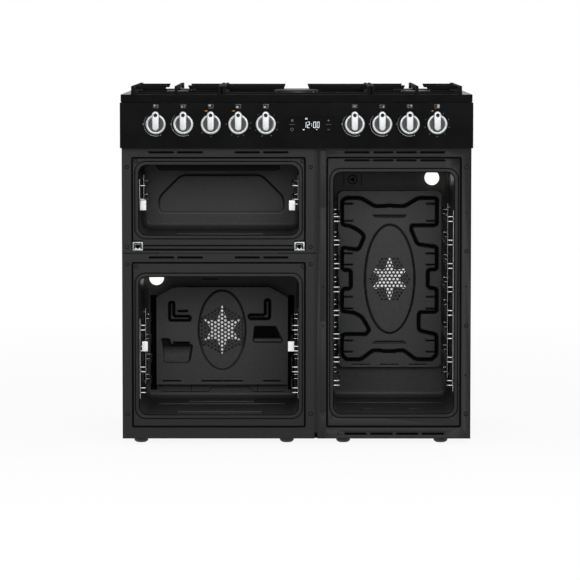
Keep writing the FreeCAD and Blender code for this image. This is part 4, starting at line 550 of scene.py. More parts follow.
def pressing(x_span, z_span, y, pitch, relief):
    """An upright sheet of small faces, with a depth and an amount of painted shade at each point."""
    wide, tall = x_span[1] - x_span[0], z_span[1] - z_span[0]
    middle = ((x_span[0] + x_span[1]) / 2, y, (z_span[0] + z_span[1]) / 2)
    stand = Matrix.Rotation(math.radians(90), 4, "X") @ Matrix.Diagonal((wide, tall, 1.0, 1.0))
    bm = bmesh.new()
    bmesh.ops.create_grid(bm, x_segments=round(wide / pitch), y_segments=round(tall / pitch), size=0.5,
                          matrix=Matrix.Translation(middle) @ stand)
    points = np.array([(vert.co.x, vert.co.z) for vert in bm.verts])
    groove_shade_layer = bm.verts.layers.float.new("groove_shade")
    for vert, depth, groove_shade in zip(bm.verts, *relief(points)):
        vert.co.y += depth
        vert[groove_shade_layer] = min(max(groove_shade, 0.0), 1.0)
    return bm


def pierced(bm, middle, upright, reach, half):
    """Swap the flat middle of a pressing for a six-sided field of round holes, each one open."""
    level = min(bm.verts, key=lambda vert: math.hypot(vert.co.x - middle[0], vert.co.z - middle[1])).co.y

    def in_field(x, z, margin):
        along, across = (z - middle[1], x - middle[0]) if upright else (x - middle[0], z - middle[1])
        return abs(along) + abs(across) * 0.577 <= reach + margin * 1.6 and abs(across) <= half + margin

    centres = [(face, face.calc_center_median()) for face in bm.faces]
    bmesh.ops.delete(bm, geom=[face for face, at in centres if in_field(at.x, at.z, 4.4)], context="FACES")
    loops = [edge for edge in bm.edges if edge.is_boundary and all(
        in_field(vert.co.x, vert.co.z, 10.0) for vert in edge.verts)]
    step = HOLE_PITCH * 0.866
    for row in range(-8, 9):
        for column in range(-8, 9):
            along, across = (column + 0.5 * (row % 2)) * HOLE_PITCH, row * step
            aside, up = (across, along) if upright else (along, across)
            x, z = middle[0] + aside, middle[1] + up
            if not in_field(x, z, 0.0):
                continue
            spot = Matrix.Translation((x, level, z)) @ Matrix.Rotation(math.radians(90), 4, "X")
            ring = bmesh.ops.create_circle(bm, cap_ends=False, segments=10, radius=HOLE_RADIUS, matrix=spot)
            loops += list({edge for vert in ring["verts"] for edge in vert.link_edges})
    bmesh.ops.triangle_fill(bm, edges=loops, use_beauty=True, normal=(0.0, -1.0, 0.0))


def trimmed(bm, planes):
    """Cut a pressing's corners off along upright planes."""
    for point, outwards in planes:
        bmesh.ops.bisect_plane(bm, geom=bm.verts[:] + bm.edges[:] + bm.faces[:], plane_co=point,
                               plane_no=outwards, clear_outer=True)


def skirted(bm, middle):
    """Fold a pressing's outer edge back to the wall, and give the sheet its thickness."""
    rim = [edge for edge in bm.edges if edge.is_boundary and all(
        math.hypot(vert.co.x - middle[0], vert.co.z - middle[1]) >= FIELD_REACH for vert in edge.verts)]
    folded = bmesh.ops.extrude_edge_only(bm, edges=rim)["geom"]
    for vert in folded:
        if isinstance(vert, bmesh.types.BMVert):
            vert.co.y = FAN_WALL_Y
    bmesh.ops.recalc_face_normals(bm, faces=bm.faces)
    front = min(bm.faces, key=lambda face: face.calc_center_median().y)
    if front.normal.y > 0:
        bmesh.ops.reverse_faces(bm, faces=bm.faces)
    bmesh.ops.solidify(bm, geom=bm.faces[:], thickness=PLATE_SHEET)


GRILL_PANEL_X, GRILL_PANEL_Z, GRILL_PANEL_Y = (-395.0, -4.0), (549.0, 710.0), 62.6
panel_line = bent([(-306.0, 679.5), (-93.0, 679.5), (-34.0, 621.0), (-34.0, 580.0), (-365.0, 580.0),
                   (-365.0, 621.0)], 14.0, closed=True)


def grill_panel_relief(points):
    """The grill oven's back wall: one groove in the shape of a low roof, deeper at its top, and darkened with
    painted shade that is also strongest there.
    """
    deeper_and_darker = np.clip((points[:, 1] - 575.0) / 50.0, 0.15, 1.0)
    return groove(points, panel_line, (3.2, 4.0), (3.0, 1.0)) * deeper_and_darker


panel = pressing(GRILL_PANEL_X, GRILL_PANEL_Z, GRILL_PANEL_Y, 1.8, grill_panel_relief)
bmesh.ops.recalc_face_normals(panel, faces=panel.faces)
if max(panel.faces, key=lambda face: face.calc_area()).normal.y > 0:
    bmesh.ops.reverse_faces(panel, faces=panel.faces)
bmesh.ops.solidify(panel, geom=panel.faces[:], thickness=PLATE_SHEET)
make("grill_back_panel", panel, cover_enamel)

LEFT_FAN, RIGHT_FAN = (-199.5, 261.0), (249.5, 398.3)
GUARD_Y, FAN_WALL_Y, FIELD_REACH, OVAL_RISE = 126.5, 165.3, 80.0, 4.0
LEFT_GUARD = ((-375.5, -23.5), (114.0, 376.0))
RIGHT_GUARD = ((111.5, 387.5), (162.0, 634.0))
left_oval = oval_line(LEFT_FAN, 63.5, 107.5)
right_oval = oval_line(RIGHT_FAN, 67.0, 146.0)

LEFT_BRACKETS = [
    bent([(-340.0, 336.0), (-329.0, 336.0), (-329.0, 298.0), (-285.5, 298.0), (-285.5, 286.5),
          (-340.0, 286.5)], 5.0, closed=True),
    bent([(-126.5, 291.5), (-126.5, 302.0), (-83.5, 302.0), (-83.5, 342.0), (-72.0, 342.0),
          (-72.0, 291.5)], 5.0, closed=True),
]
LEFT_TRAY = bent([(-362.0, 237.5), (-341.0, 237.5), (-337.0, 221.0), (-279.0, 221.0), (-288.0, 172.0),
                  (-355.0, 172.0)], 5.0, closed=True)
LEFT_WEDGE = bent([(-113.0, 271.5), (-55.0, 271.5), (-37.0, 232.0), (-40.0, 228.0), (-113.5, 228.0),
                   (-117.0, 232.0)], 4.0, closed=True)
LEFT_BARS = [((-317.0, 312.0), (-293.0, 312.0)), ((-329.0, 226.5), (-288.5, 226.5))]
LEFT_DASHES = [(-357.0, -311.5), (-252.5, -202.0), (-196.5, -145.5), (-87.0, -44.0)]


def left_guard_relief(points):
    """The lower left cover: an oval step round the fan, two brackets, two pockets and short grooves, each
    darkened with painted shade.
    """
    height = points[:, 1]
    form = groove(points, left_oval, (3.0, 3.0), (2.6, 0.95))
    # Painted shade: the oval's groove darkens towards its top.
    form[1] *= np.clip((height - 185.0) / 60.0, 0.1, 1.0)
    for outline in LEFT_BRACKETS:
        form += groove(points, outline, (6.5, 6.0), (7.5, 1.0))
    for bar in LEFT_BARS:
        form += groove(points, np.array(bar), (5.0, 3.5), (6.0, 1.0))
    for start, end in LEFT_DASHES:
        form += groove(points, np.array([(start, 123.5), (end, 123.5)]), (3.6, 2.5), (3.6, 1.0))
    tray, wedge = pocket(points, LEFT_TRAY), pocket(points, LEFT_WEDGE)
    form[0] += 9.0 * tray + 8.0 * wedge - OVAL_RISE * fall(past(points, left_oval), -3.0)
    # Painted shade: the pockets darken towards their tops and along their rims.
    tray_rim_shade = 0.9 * fall(reach_of(points, LEFT_TRAY[:-1]), 2.5) * np.clip((height - 172.0) / 12.0, 0.0, 1.0)
    wedge_rim_shade = 0.8 * fall(reach_of(points, LEFT_WEDGE), 1.3)
    form[1] += np.maximum(tray * np.clip((height - 196.0) / 24.0, 0.0, 0.9), tray_rim_shade)
    form[1] += np.maximum(wedge * np.clip((height - 235.0) / 4.0, 0.1, 1.0), wedge_rim_shade)
    return form


# The channel of the tall cover starts at its top left corner and runs clockwise: an arch over
# the top, deep waists at both sides of the oval, and a shallow arch below it.
RIGHT_CHANNEL = bent([
    (132.0, 615.5), (172.5, 615.5), (211.0, 592.5), (250.0, 595.5), (287.0, 592.5), (326.0, 615.5),
    (376.0, 615.5), (376.0, 542.5), (308.5, 542.5), (306.0, 532.0), (323.5, 491.5), (376.0, 484.5),
    (376.0, 423.5), (352.0, 423.5), (352.0, 375.0), (376.0, 372.5), (376.0, 309.0), (328.0, 309.0),
    (328.0, 260.0), (376.0, 249.0), (376.0, 194.0), (364.5, 181.5), (320.5, 181.5), (286.0, 207.5),
    (250.0, 202.5), (207.0, 207.5), (172.5, 181.5), (132.0, 181.5), (122.0, 194.0), (122.0, 249.5),
    (187.0, 249.5), (195.5, 261.0), (176.5, 294.5), (155.0, 307.5), (122.0, 310.5), (122.0, 371.5),
    (145.5, 372.5), (145.5, 422.0), (122.0, 422.0), (122.0, 483.0), (166.0, 476.5), (182.0, 513.5),
    (168.0, 527.5), (145.0, 540.0), (122.0, 543.5), (122.0, 608.0)], 9.0, closed=True)
RIGHT_SLOT_ROWS = (600.0, 554.0, 467.0, 436.5, 350.0, 319.0, 232.5, 202.0)
RIGHT_TROUGHS = [
    bent([(200.5, 571.0), (298.0, 571.0), (288.0, 562.5), (210.5, 562.5)], 3.0, closed=True),
    bent([(210.5, 232.5), (288.0, 232.5), (298.0, 224.0), (200.5, 224.0)], 3.0, closed=True),
]
RIGHT_DASHES = [(150.0, 196.0), (226.0, 246.0), (252.0, 272.0), (304.0, 348.0)]


def right_guard_relief(points):
    """The tall cover: an oval step round the fan, one long channel, troughs and short slots, each darkened
    with painted shade.
    """
    height = points[:, 1]
    form = groove(points, right_oval, (3.4, 3.5), (3.2, 0.95))
    form[0] -= OVAL_RISE * fall(past(points, right_oval), -3.0)
    form += groove(points, RIGHT_CHANNEL, (9.0, 8.0), (9.5, 1.0))
    for outline in RIGHT_TROUGHS:
        trough = pocket(points, outline, 2.5)
        form[0] += 5.0 * trough
        # Painted shade in each trough, lighter along its lower edge.
        form[1] += 0.9 * trough * np.clip((height - outline[:, 1].min() - 1.5) / 3.0, 0.35, 1.0)
    for z in RIGHT_SLOT_ROWS:
        for start, end in ((128.5, 149.5), (348.5, 370.0)):
            form += groove(points, np.array([(start, z), (end, z)]), (3.6, 3.0), (4.2, 1.0))
    for start, end in RIGHT_DASHES:
        form += groove(points, np.array([(start, 168.0), (end, 168.0)]), (3.0, 2.5), (2.6, 0.7))
    return form


def cover(side, box, middle, field, pitch, relief, corner_cuts):
    """One fan cover: pressed, trimmed at its corners, pierced, folded back and made a sheet."""
    bm = pressing(*box, GUARD_Y, pitch, relief)
    trimmed(bm, corner_cuts)
    pierced(bm, middle, *field)
    skirted(bm, middle)
    make(f"fan_cover_{side}", bm, cover_enamel, replaces=(f"fan_guard_{side}",), crease=32)


def corner_cut(box, side, rise, reach_x, reach_z):
    """The upright plane that takes off a box's corner, with the way it faces."""
    x, z = box[0][max(side, 0)], box[1][max(rise, 0)]
    return (x - side * reach_x, GUARD_Y, z), Vector((side / reach_x, 0.0, rise / reach_z)).normalized()


left_cuts = [corner_cut(LEFT_GUARD, side, 1, 48.0, 27.0) for side in (-1, 1)]
right_cuts = [corner_cut(RIGHT_GUARD, side, rise, 9.0, 9.0) for side in (-1, 1) for rise in (-1, 1)]
# Each field of holes: whether it stands on a corner, its reach to that corner, and half its width.
cover("left", LEFT_GUARD, LEFT_FAN, (True, 66.0, 55.0), 1.8, left_guard_relief, left_cuts)
cover("right", RIGHT_GUARD, RIGHT_FAN, (False, 57.0, 56.0), 2.0, right_guard_relief, right_cuts)

# Behind the covers, the back walls carry a pressed line over the floor, a sensor in a round
# boss between two beads, and a row of vent slits, all drawn as near-black strokes of painted shade.
wall_shade_lines = bmesh.new()
BACK_WALL_Y = 165.5
for start, end in (((-362.0, 91.0), (-238.0, 91.0)), ((-238.0, 91.0), (-228.0, 103.0)),
                   ((-228.0, 103.0), (-128.0, 103.0)), ((-128.0, 103.0), (-118.0, 91.0)),
                   ((-118.0, 91.0), (-36.0, 91.0)), ((-283.0, 92.0), (-283.0, 110.0)),
                   ((-105.0, 92.0), (-105.0, 110.0))):
    stroke(wall_shade_lines, start, end, 1.6, BACK_WALL_Y - SKIN)
for slit in range(7):
    stroke(wall_shade_lines, (-251.0 + 6.2 * slit, 393.0), (-251.0 + 6.2 * slit, 397.0), 4.0, BACK_WALL_Y - SKIN)
for x in (127.0, 173.5):
    stroke(wall_shade_lines, (x, 647.0), (x, 678.0), 1.8, BACK_WALL_Y - SKIN)
SENSOR = (150.6, BACK_WALL_Y - SKIN, 663.0)
lathe(wall_shade_lines, [(10.4, 0.0), (13.0, 0.0)], SENSOR, steps=32)
bmesh.ops.create_circle(wall_shade_lines, cap_ends=True, segments=3, radius=8.0, matrix=Matrix.Translation(
    SENSOR) @ Matrix.Rotation(math.radians(90), 4, "X") @ Matrix.Rotation(math.radians(90), 4, "Z"))
# Painted shadow: dark bands on the back wall beside and under the left cover, where its shade falls.
for x, wide in ((-388.5, 25.0), (-11.0, 23.0)):
    stroke(wall_shade_lines, (x, 96.0), (x, 352.0), wide, BACK_WALL_Y - 0.5 * SKIN)
stroke(wall_shade_lines, (-376.0, 111.0), (-23.0, 111.0), 6.0, BACK_WALL_Y - 0.5 * SKIN)
make("back_wall_shade_lines", wall_shade_lines, line_shadow)

# ---------------------------------------------------------------- the fans and their heating rings
# Behind each cover runs a fan wheel: a bright star of six arms, stamped from stainless
# sheet and riveted to a disc with twelve paddles, coloured near black as painted shade. Its
# motor sits behind the wall, and a dark tubular heating ring lies round it.

# Stamped stainless gives a bright mirror with a fine grain along it.
stainless = surface("stamped_stainless", ("cfd0d1", "ececec"), (0.26, 0.4), 3.0, stretch=(1, 1, 0.2),
                    Metallic=1.0)
# Laminated steel gives grey with fine lines across the stack.
motor_steel = surface("laminated_motor_steel", ("5d5f61", "76787a"), (0.4, 0.6), 1.0, stretch=(1, 6, 1),
                      Metallic=0.7)
# Oxide on a heating tube gives brown-black with a dull shine.
element_steel = surface("oxidised_heating_tube", ("26221f", "38322e"), (0.35, 0.55), 4.0, bump=0.1,
                        Metallic=0.5)
dress(motor_steel, "fan_motors")
dress(element_steel, "ring_elements", "grill_element")

WHEEL_RADIUS, WHEEL_FRONT, WHEEL_BACK = 70.0, 134.6, 153.4
ARM_REACH, ARM_WAIST = 57.0, 27.0
PADDLE_PLACE, PADDLE_TURN, PADDLE_SIZE = 61.0, 24, (1.0, 16.0, 16.0, 1.0)
# Steel coloured near black as painted shade behind the bright star, bright only where light grazes it.
wheel_steel_and_shade = surface("dark_wheel_steel_and_shade", ("1b1b1c", "29292a"), (0.4, 0.55), 3.0, Metallic=0.6)
for side, (x, z), upright_reach in (("left", LEFT_FAN, 68.0), ("right", RIGHT_FAN, 59.0)):
    wheel = bmesh.new()
    star = []
    for step in range(12):
        turn = math.radians(30 * step)
        reach = ARM_WAIST if step % 2 else upright_reach if step % 6 == 0 else ARM_REACH
        star.append((reach * math.sin(turn), reach * math.cos(turn)))
    outline = bent(star, 6.0, closed=True, steps=4)[:-1]
    ring = [wheel.verts.new((x + across, WHEEL_FRONT, z + up)) for across, up in outline]
    plate = wheel.faces.new(ring)
    pulled = bmesh.ops.extrude_face_region(wheel, geom=[plate])["geom"]
    bmesh.ops.translate(wheel, verts=[vert for vert in pulled if isinstance(vert, bmesh.types.BMVert)],
                        vec=(0.0, 1.2, 0.0))
    lathe(wheel, [(0.0, WHEEL_FRONT - 3.0), (7.0, WHEEL_FRONT - 3.0), (9.0, WHEEL_FRONT - 1.0),
                  (9.0, WHEEL_FRONT + 12.0), (0.0, WHEEL_FRONT + 12.0)], (x, 0.0, z), steps=20)
    bmesh.ops.recalc_face_normals(wheel, faces=wheel.faces)
    make(f"fan_star_{side}", wheel, stainless, f"fan_{side}", (f"fan_impeller_{side}",),
         crease=25)
    blades = bmesh.new()
    for paddle in range(12):
        turn = Matrix.Translation((x, 0, z)) @ Matrix.Rotation(math.radians(30 * paddle), 4, "Y")
        placed = turn @ Matrix.Translation((0, (WHEEL_FRONT + 2.0 + WHEEL_BACK) / 2, PADDLE_PLACE))
        shape = placed @ Matrix.Rotation(math.radians(PADDLE_TURN), 4, "Y") @ Matrix.Diagonal(PADDLE_SIZE)
        bmesh.ops.create_cube(blades, size=1.0, matrix=shape)
    lathe(blades, [(0.0, WHEEL_BACK - 1.0), (WHEEL_RADIUS, WHEEL_BACK - 1.0), (WHEEL_RADIUS, WHEEL_BACK),
                   (0.0, WHEEL_BACK)], (x, 0.0, z), steps=40)
    lathe(blades, [(0.0, WHEEL_BACK - 1.4), (3.95, WHEEL_BACK - 1.4), (3.95, 194.5), (0.0, 195.0)],
          (x, 0.0, z), steps=16)
    bmesh.ops.recalc_face_normals(blades, faces=blades.faces)
    make(f"fan_blades_{side}", blades, wheel_steel_and_shade, f"fan_{side}", crease=25)

# A sheet across the top of the grill oven's mouth hides the bends of its heating tube; it is coloured near
# black as painted shade at the top of the mouth.
shield = bmesh.new()
SHIELD_Y, SHIELD_X, SHIELD_Z = -240.0, (-360.0, -43.0), (704.0, 723.0)
block(shield, (SHIELD_X[0], SHIELD_Y, SHIELD_Z[0]), (SHIELD_X[1], SHIELD_Y + 1.0, SHIELD_Z[1]))
for x, side in ((SHIELD_X[0], -1.0), (SHIELD_X[1], 1.0)):
    cut = bmesh.ops.bisect_plane(shield, geom=shield.verts[:] + shield.edges[:] + shield.faces[:],
                                 plane_co=(x, SHIELD_Y, SHIELD_Z[0] + 9.0), plane_no=(side, 0.0, -1.0),
                                 clear_outer=True)["geom_cut"]
    bmesh.ops.contextual_create(shield, geom=[part for part in cut if isinstance(part, bmesh.types.BMEdge)])
make("grill_shield_shade", shield, line_shadow)

# ---------------------------------------------------------------- the oven lamps
# Each lamp is a small halogen bulb in a white ceramic holder in the back wall, behind a
# round clear lens of heat-proof glass. Both are lit, and glow white.

LAMPS = {"left": (-376.0, 399.0), "right": (363.0, 668.0)}
# Glazed ceramic gives warm white with a clear highlight.
ceramic = surface("glazed_ceramic", ("e4e0d6", "efece4"), (0.25, 0.4), 3.0, Specular_IOR_Level=0.5)
dress(ceramic, "lamp_holders")
# A lit lens shows no glass, only an even white glow.
lamp_glass = surface("lit_lamp_glass", ("f6eedd", "fffaf0"), (0.06, 0.12), 6.0)
glow = lamp_glass.node_tree.nodes["Principled BSDF"].inputs
glow["Emission Color"].default_value = linear("fffbf2")
glow["Emission Strength"].default_value = 1.1
lenses = bmesh.new()
for x, z in LAMPS.values():
    lathe(lenses, [(0.0, 144.0), (9.0, 144.3), (15.0, 146.2), (17.6, 149.5), (19.2, 154.0), (19.6, 165.3),
                   (17.5, 165.3), (17.5, 157.0), (0.0, 148.0)], (x, 0.0, z), steps=40)
make("lamp_lenses_lit", lenses, lamp_glass, replaces=("lamp_lenses",))

# ---------------------------------------------------------------- the side racks
# The shelves slide on ladders of bright chromed wire, hooked to the cavities' side walls.
# White enamelled clips hold the front ends of the left column's racks.

# Bright chrome gives thin white glints on grey wire.
chrome_wire = surface("bright_chromed_wire", ("8b8d8e", "a3a5a6"), (0.12, 0.2), 5.0, Metallic=1.0)
dress(chrome_wire, "side_racks")
clips_white = bmesh.new()
CLIP_FRONT = -229.0
for (x_low, x_high), (z_low, z_high) in (((-401.6, -385.9), (602.0, 628.0)), ((-19.4, -3.6), (602.0, 628.0)),
                                         ((-398.0, -383.0), (238.0, 264.0)), ((-22.0, -6.0), (238.0, 264.0))):
    block(clips_white, (x_low, CLIP_FRONT, z_low), (x_high, CLIP_FRONT + 3.0, z_high), 1.4, steps=3)
# Enamelled clips give flat white, a little off the lamps' tone.
clip_enamel = surface("white_clip_enamel", ("dededf", "e8e8e8"), (0.3, 0.4), 3.0, Specular_IOR_Level=0.3)
make("rack_clips", clips_white, clip_enamel)

# ---------------------------------------------------------------- the hinge receivers
# Two sockets of zinc-plated sheet under the grill oven's mouth take the hooks of its door.

# Electroplated zinc gives a soft grey mirror.
zinc = surface("zinc_plated_sheet", ("7c7e7f", "939596"), (0.34, 0.48), 6.0, Metallic=0.9)
dress(zinc, "gas_rail")
RECEIVER_Y, RECEIVER_LIP = -258.0, 1.2
receivers = softened("hinge_receivers", 0.7)
cut_out_shade = bmesh.new()
for x in (-406.5, 7.5):
    block(receivers, (x - 13.0, RECEIVER_Y - RECEIVER_LIP, 500.4), (x + 13.0, RECEIVER_Y, 504.0), 0.4)
    # A hole round three sides of the hook's tongue, and a slit in the tongue, each drawn as a near-black
    # stroke of painted shade.
    for start, end, width in (((-8.2, 505.0), (-8.2, 518.6), 3.4), ((8.2, 505.0), (8.2, 518.6), 3.4),
                              ((-8.2, 518.8), (8.2, 518.8), 2.4), ((0.0, 505.0), (0.0, 514.0), 5.4)):
        stroke(cut_out_shade, (x + start[0], start[1]), (x + end[0], end[1]), width, RECEIVER_Y - SKIN)
    # A dark line of painted shade on the sunk face above each socket.
    stroke(cut_out_shade, (x - 13.5, 524.6), (x + 13.5, 524.6), 3.0, SUNK_Y - 3 * SKIN)
make("receivers", receivers, zinc, replaces=("hinge_receivers",))
make("receiver_cut_out_shade", cut_out_shade, line_shadow)

# ---------------------------------------------------------------- the control fascia
# The fascia is one folded steel panel in deep gloss black. Its marks are screen-printed:
# a picture over each knob, ticks or an arc round it, and touch marks beside the clock.

FASCIA_FRONT = -284.0
PRINT = 0.06
KNOB_PLACES = (-358.0, -288.0, -218.0, -148.0, -78.0, 148.0, 218.0, 288.0, 358.0)
KNOB_Z = 824.8

# Gloss enamel gives deep black that only mirrors the lamps.
fascia_gloss = surface("gloss_black_fascia", ("090909", "0c0c0d"), (0.16, 0.22), 60.0,
                       Specular_IOR_Level=0.02)
rolled("fascia", "control_fascia", 1.6, fascia_gloss, steps=3)
# Screen-printed ink is flat: full strength, a thin coat, and amber.
grey_print = surface("pale_grey_print", ("a2a3a3", "aeafaf"), (0.45, 0.55), 2.0, Specular_IOR_Level=0.1)
faint_print = surface("faint_grey_print", ("747575", "808181"), (0.45, 0.55), 2.0, Specular_IOR_Level=0.1)
amber_print = surface("amber_print", ("c98a3c", "d1954a"), (0.45, 0.55), 2.0)


def dot(bm, x, z, radius, steps=12):
    """A printed dot."""
    flat = Matrix.Translation((x, FASCIA_FRONT - PRINT, z)) @ Matrix.Rotation(math.radians(90), 4, "X")
    bmesh.ops.create_circle(bm, cap_ends=True, segments=steps, radius=radius, matrix=flat)


def dash(bm, start, end, width):
    """A printed stroke between two places on the fascia."""
    stroke(bm, start, end, width, FASCIA_FRONT - PRINT)


def frame_mark(bm, x, z, wide, tall, width=0.5):
    """A printed outline of a small rectangle."""
    corners = [(x - wide / 2, z - tall / 2), (x + wide / 2, z - tall / 2), (x + wide / 2, z + tall / 2),
               (x - wide / 2, z + tall / 2)]
    for start, end in zip(corners, corners[1:] + corners[:1]):
        dash(bm, start, end, width)


def arc_mark(bm, x, z, radius, first, last, widths, steps=24):
    """A printed arc, clockwise from one angle to another, whose width changes on the way."""
    for step in range(steps):
        turns = [math.radians(first + (last - first) * (step + part) / steps) for part in (0, 1)]
        ends = [(x + radius * math.sin(turn), z + radius * math.cos(turn)) for turn in turns]
        share = step / (steps - 1)
        dash(bm, *ends, widths[0] + (widths[1] - widths[0]) * share)


# For each gas knob, the burner that its picture fills in: along and up, from the middle.
BURNER_PICTURES = {1: (-3.4, 1.9), 2: (-3.4, -1.9), 6: (0.0, 0.0), 7: (3.4, -1.9), 8: (3.4, 1.9)}
BURNER_DOTS = [(-3.4, 1.9), (-3.4, -1.9), (0.0, 0.0), (3.4, -1.9), (3.4, 1.9)]
OVEN_PICTURES = {3: (-2.7, 2.0, 3.6), 4: (-2.7, -2.0, 3.6), 5: (-2.7, -2.0, 3.6), 9: (2.7, 0.0, 7.6)}
# For each oven knob, where its ticks stand: degrees clockwise from the top.
TICKS = {3: (180, 226), 4: (85, 109, 154, 182, 212, 270), 5: (43, 81, 117, 155, 198, 240, 321),
         9: (30, 68, 104, 142, 180, 218, 256, 292)}
ICON_Z = KNOB_Z + 45.5
marks, faint_marks, amber_marks = bmesh.new(), bmesh.new(), bmesh.new()
for number, x in enumerate(KNOB_PLACES, 1):
    if number in BURNER_PICTURES:
        frame_mark(faint_marks, x, ICON_Z, 12.4, 8.2, 0.55)
        for across, up in BURNER_DOTS:
            dot(marks, x + across, ICON_Z + up, 1.8 if (across, up) == BURNER_PICTURES[number] else 0.8)
        arc_mark(marks, x, KNOB_Z, 30.5, -45.0, -195.0, (0.3, 0.9), 32)
        dot(marks, x - 33.0, KNOB_Z, 0.9)
        dash(marks, (x + 11.0, KNOB_Z - 27.2), (x + 12.6, KNOB_Z - 29.4), 1.3)
    else:
        frame_mark(faint_marks, x, ICON_Z, 12.4, 9.4, 0.6)
        dash(faint_marks, (x - 5.8, ICON_Z), (x + 5.8, ICON_Z), 0.4)
        dash(faint_marks, (x, ICON_Z - 4.4), (x, ICON_Z + 4.4), 0.4)
        across, up, tall = OVEN_PICTURES[number]
        dash(marks, (x + across - 2.4, ICON_Z + up), (x + across + 2.4, ICON_Z + up), tall)
        for degrees in TICKS[number]:
            turn = math.radians(degrees)
            ends = [(x + reach * math.sin(turn), KNOB_Z + reach * math.cos(turn)) for reach in (30.4, 32.6)]
            dash(faint_marks, *ends, 1.2)
for x in (-230.0, -160.0, 346.0):
    dash(amber_marks, (x - 3.0, KNOB_Z + 33.5), (x + 3.0, KNOB_Z + 33.5), 1.3)

# Touch marks: a list, a clock face, a plus and a minus, with a hairline between each two. Each
# stroke has two ends and a width.
TOUCH_MARKS = [((-14.0, z), (-8.0, z), 0.6) for z in (832.0, 834.0, 836.0)]
TOUCH_MARKS += [((-18.5, 824.0), (-4.5, 824.0), 0.4), ((-11.5, 811.5), (-11.5, 814.0), 0.5),
                ((78.5, 834.0), (84.0, 834.0), 0.8), ((81.2, 831.2), (81.2, 836.8), 0.8),
                ((74.5, 824.0), (88.5, 824.0), 0.4), ((78.5, 811.0), (84.0, 811.0), 0.8)]
for start, end, width in TOUCH_MARKS:
    dash(faint_marks, start, end, width)
arc_mark(faint_marks, -11.5, 811.5, 3.4, 0.0, 360.0, (0.6, 0.6), 20)
make("fascia_marks", marks, grey_print)
make("fascia_faint_marks", faint_marks, faint_print)
make("fascia_amber_marks", amber_marks, amber_print)

# ---------------------------------------------------------------- the clock
# A black glass window is set flush into the fascia. Behind it a timer module shows the
# time of day in bright segment digits, with a small sign over them.

# Dark glass gives the blackest and sharpest mirror of the front.
display_glass = surface("black_display_glass", ("070707", "0b0b0b"), (0.04, 0.08), 80.0,
                        Specular_IOR_Level=0.05)
rolled("clock_window", "display_window", 0.4, display_glass)
# Moulded case plastic gives a dull, faintly grained dark grey.
case_plastic = surface("moulded_case_plastic", ("1d1d1e", "29292a"), (0.5, 0.65), 1.5, bump=0.03,
                       Specular_IOR_Level=0.3)
dress(case_plastic, "timer_module", "oven_controls", "cooling_fan_rotor")
# Lit segments give a cool white with no shading.
segment_light = surface("lit_segments", ("dfeaf0", "eef6fa"), (0.4, 0.5), 3.0)
lit = segment_light.node_tree.nodes["Principled BSDF"].inputs
lit["Emission Color"].default_value = linear("e6f1f6")
lit["Emission Strength"].default_value = 0.6

# Which of a digit's seven segments are lit: top, upper right, lower right, bottom, lower
# left, upper left, middle.
SEGMENTS = {"0": "1111110", "1": "0110000", "2": "1101101"}
DIGIT_WIDE, DIGIT_TALL, LEAN, DIGITS_Z = 5.4, 14.5, 0.04, 823.0


def digit(bm, figure, x, z):
    """One leaning seven-segment figure."""
    wide, tall = DIGIT_WIDE / 2, DIGIT_TALL / 2
    runs = [((-wide, tall), (wide, tall)), ((wide, tall), (wide, 0)), ((wide, 0), (wide, -tall)),
            ((-wide, -tall), (wide, -tall)), ((-wide, 0), (-wide, -tall)), ((-wide, tall), (-wide, 0)),
            ((-wide, 0), (wide, 0))]
    for (start, end), shown in zip(runs, SEGMENTS[figure]):
        if shown == "1":
            ends = [(x + across + up * LEAN, z + up) for across, up in (start, end)]
            dash(bm, *ends, 0.8)


digits = bmesh.new()
for figure, x in (("1", 21.5), ("2", 30.5), ("0", 46.0), ("0", 55.0)):
    digit(digits, figure, x, DIGITS_Z)
for up in (-2.6, 2.6):
    dot(digits, 38.5 + up * LEAN, DIGITS_Z + up, 0.9)
frame_mark(digits, 25.0, 838.5, 4.5, 3.0, 0.7)
dot(digits, 51.5, 811.2, 0.9)
dash(digits, (16.0, 810.0), (20.0, 811.6), 0.8)
dash(digits, (16.0, 811.6), (20.0, 810.0), 0.8)
make("clock_digits", digits, segment_light)

# ---------------------------------------------------------------- the knobs
# Nine knobs are moulded and plated in satin silver: a round collar with a raised rim, a
# bevelled grip bar across it, and a lobe at the top with a dark pointer dot. The floor of
# the collar beside the grip is dark, and a socket in its back takes the spindle.

KNOB_BACK, DISC_FRONT, GRIP_FRONT = -289.0, -299.0, -316.0
RING_OUTER, RING_INNER = 25.6, 17.6
FLOOR = DISC_FRONT + 4.0
SOCKET_RADIUS, SOCKET_END, SOCKET_WALL = 3.4, KNOB_BACK - 10.0, 1.6
# Satin plating gives soft silver, light on the edges and grey on the flats.
silver = surface("satin_silver_plating", ("8b8d8e", "9a9c9d"), (0.30, 0.38), 2.0, Metallic=0.75)
# The collar's floor is left unplated: plain dark plastic.
insert_dark = surface("dark_knob_floor", ("262627", "343536"), (0.4, 0.5), 1.5, Specular_IOR_Level=0.3)
# The pointer's inlay gives a matt black dot.
pointer_dark = surface("pointer_inlay", ("0f0f10", "19191a"), (0.45, 0.55), 1.5, Specular_IOR_Level=0.1)
# A turned spindle gives plain grey metal.
stem_steel = surface("turned_spindle_steel", ("8c8e90", "a3a5a7"), (0.3, 0.42), 1.0, Metallic=0.95)


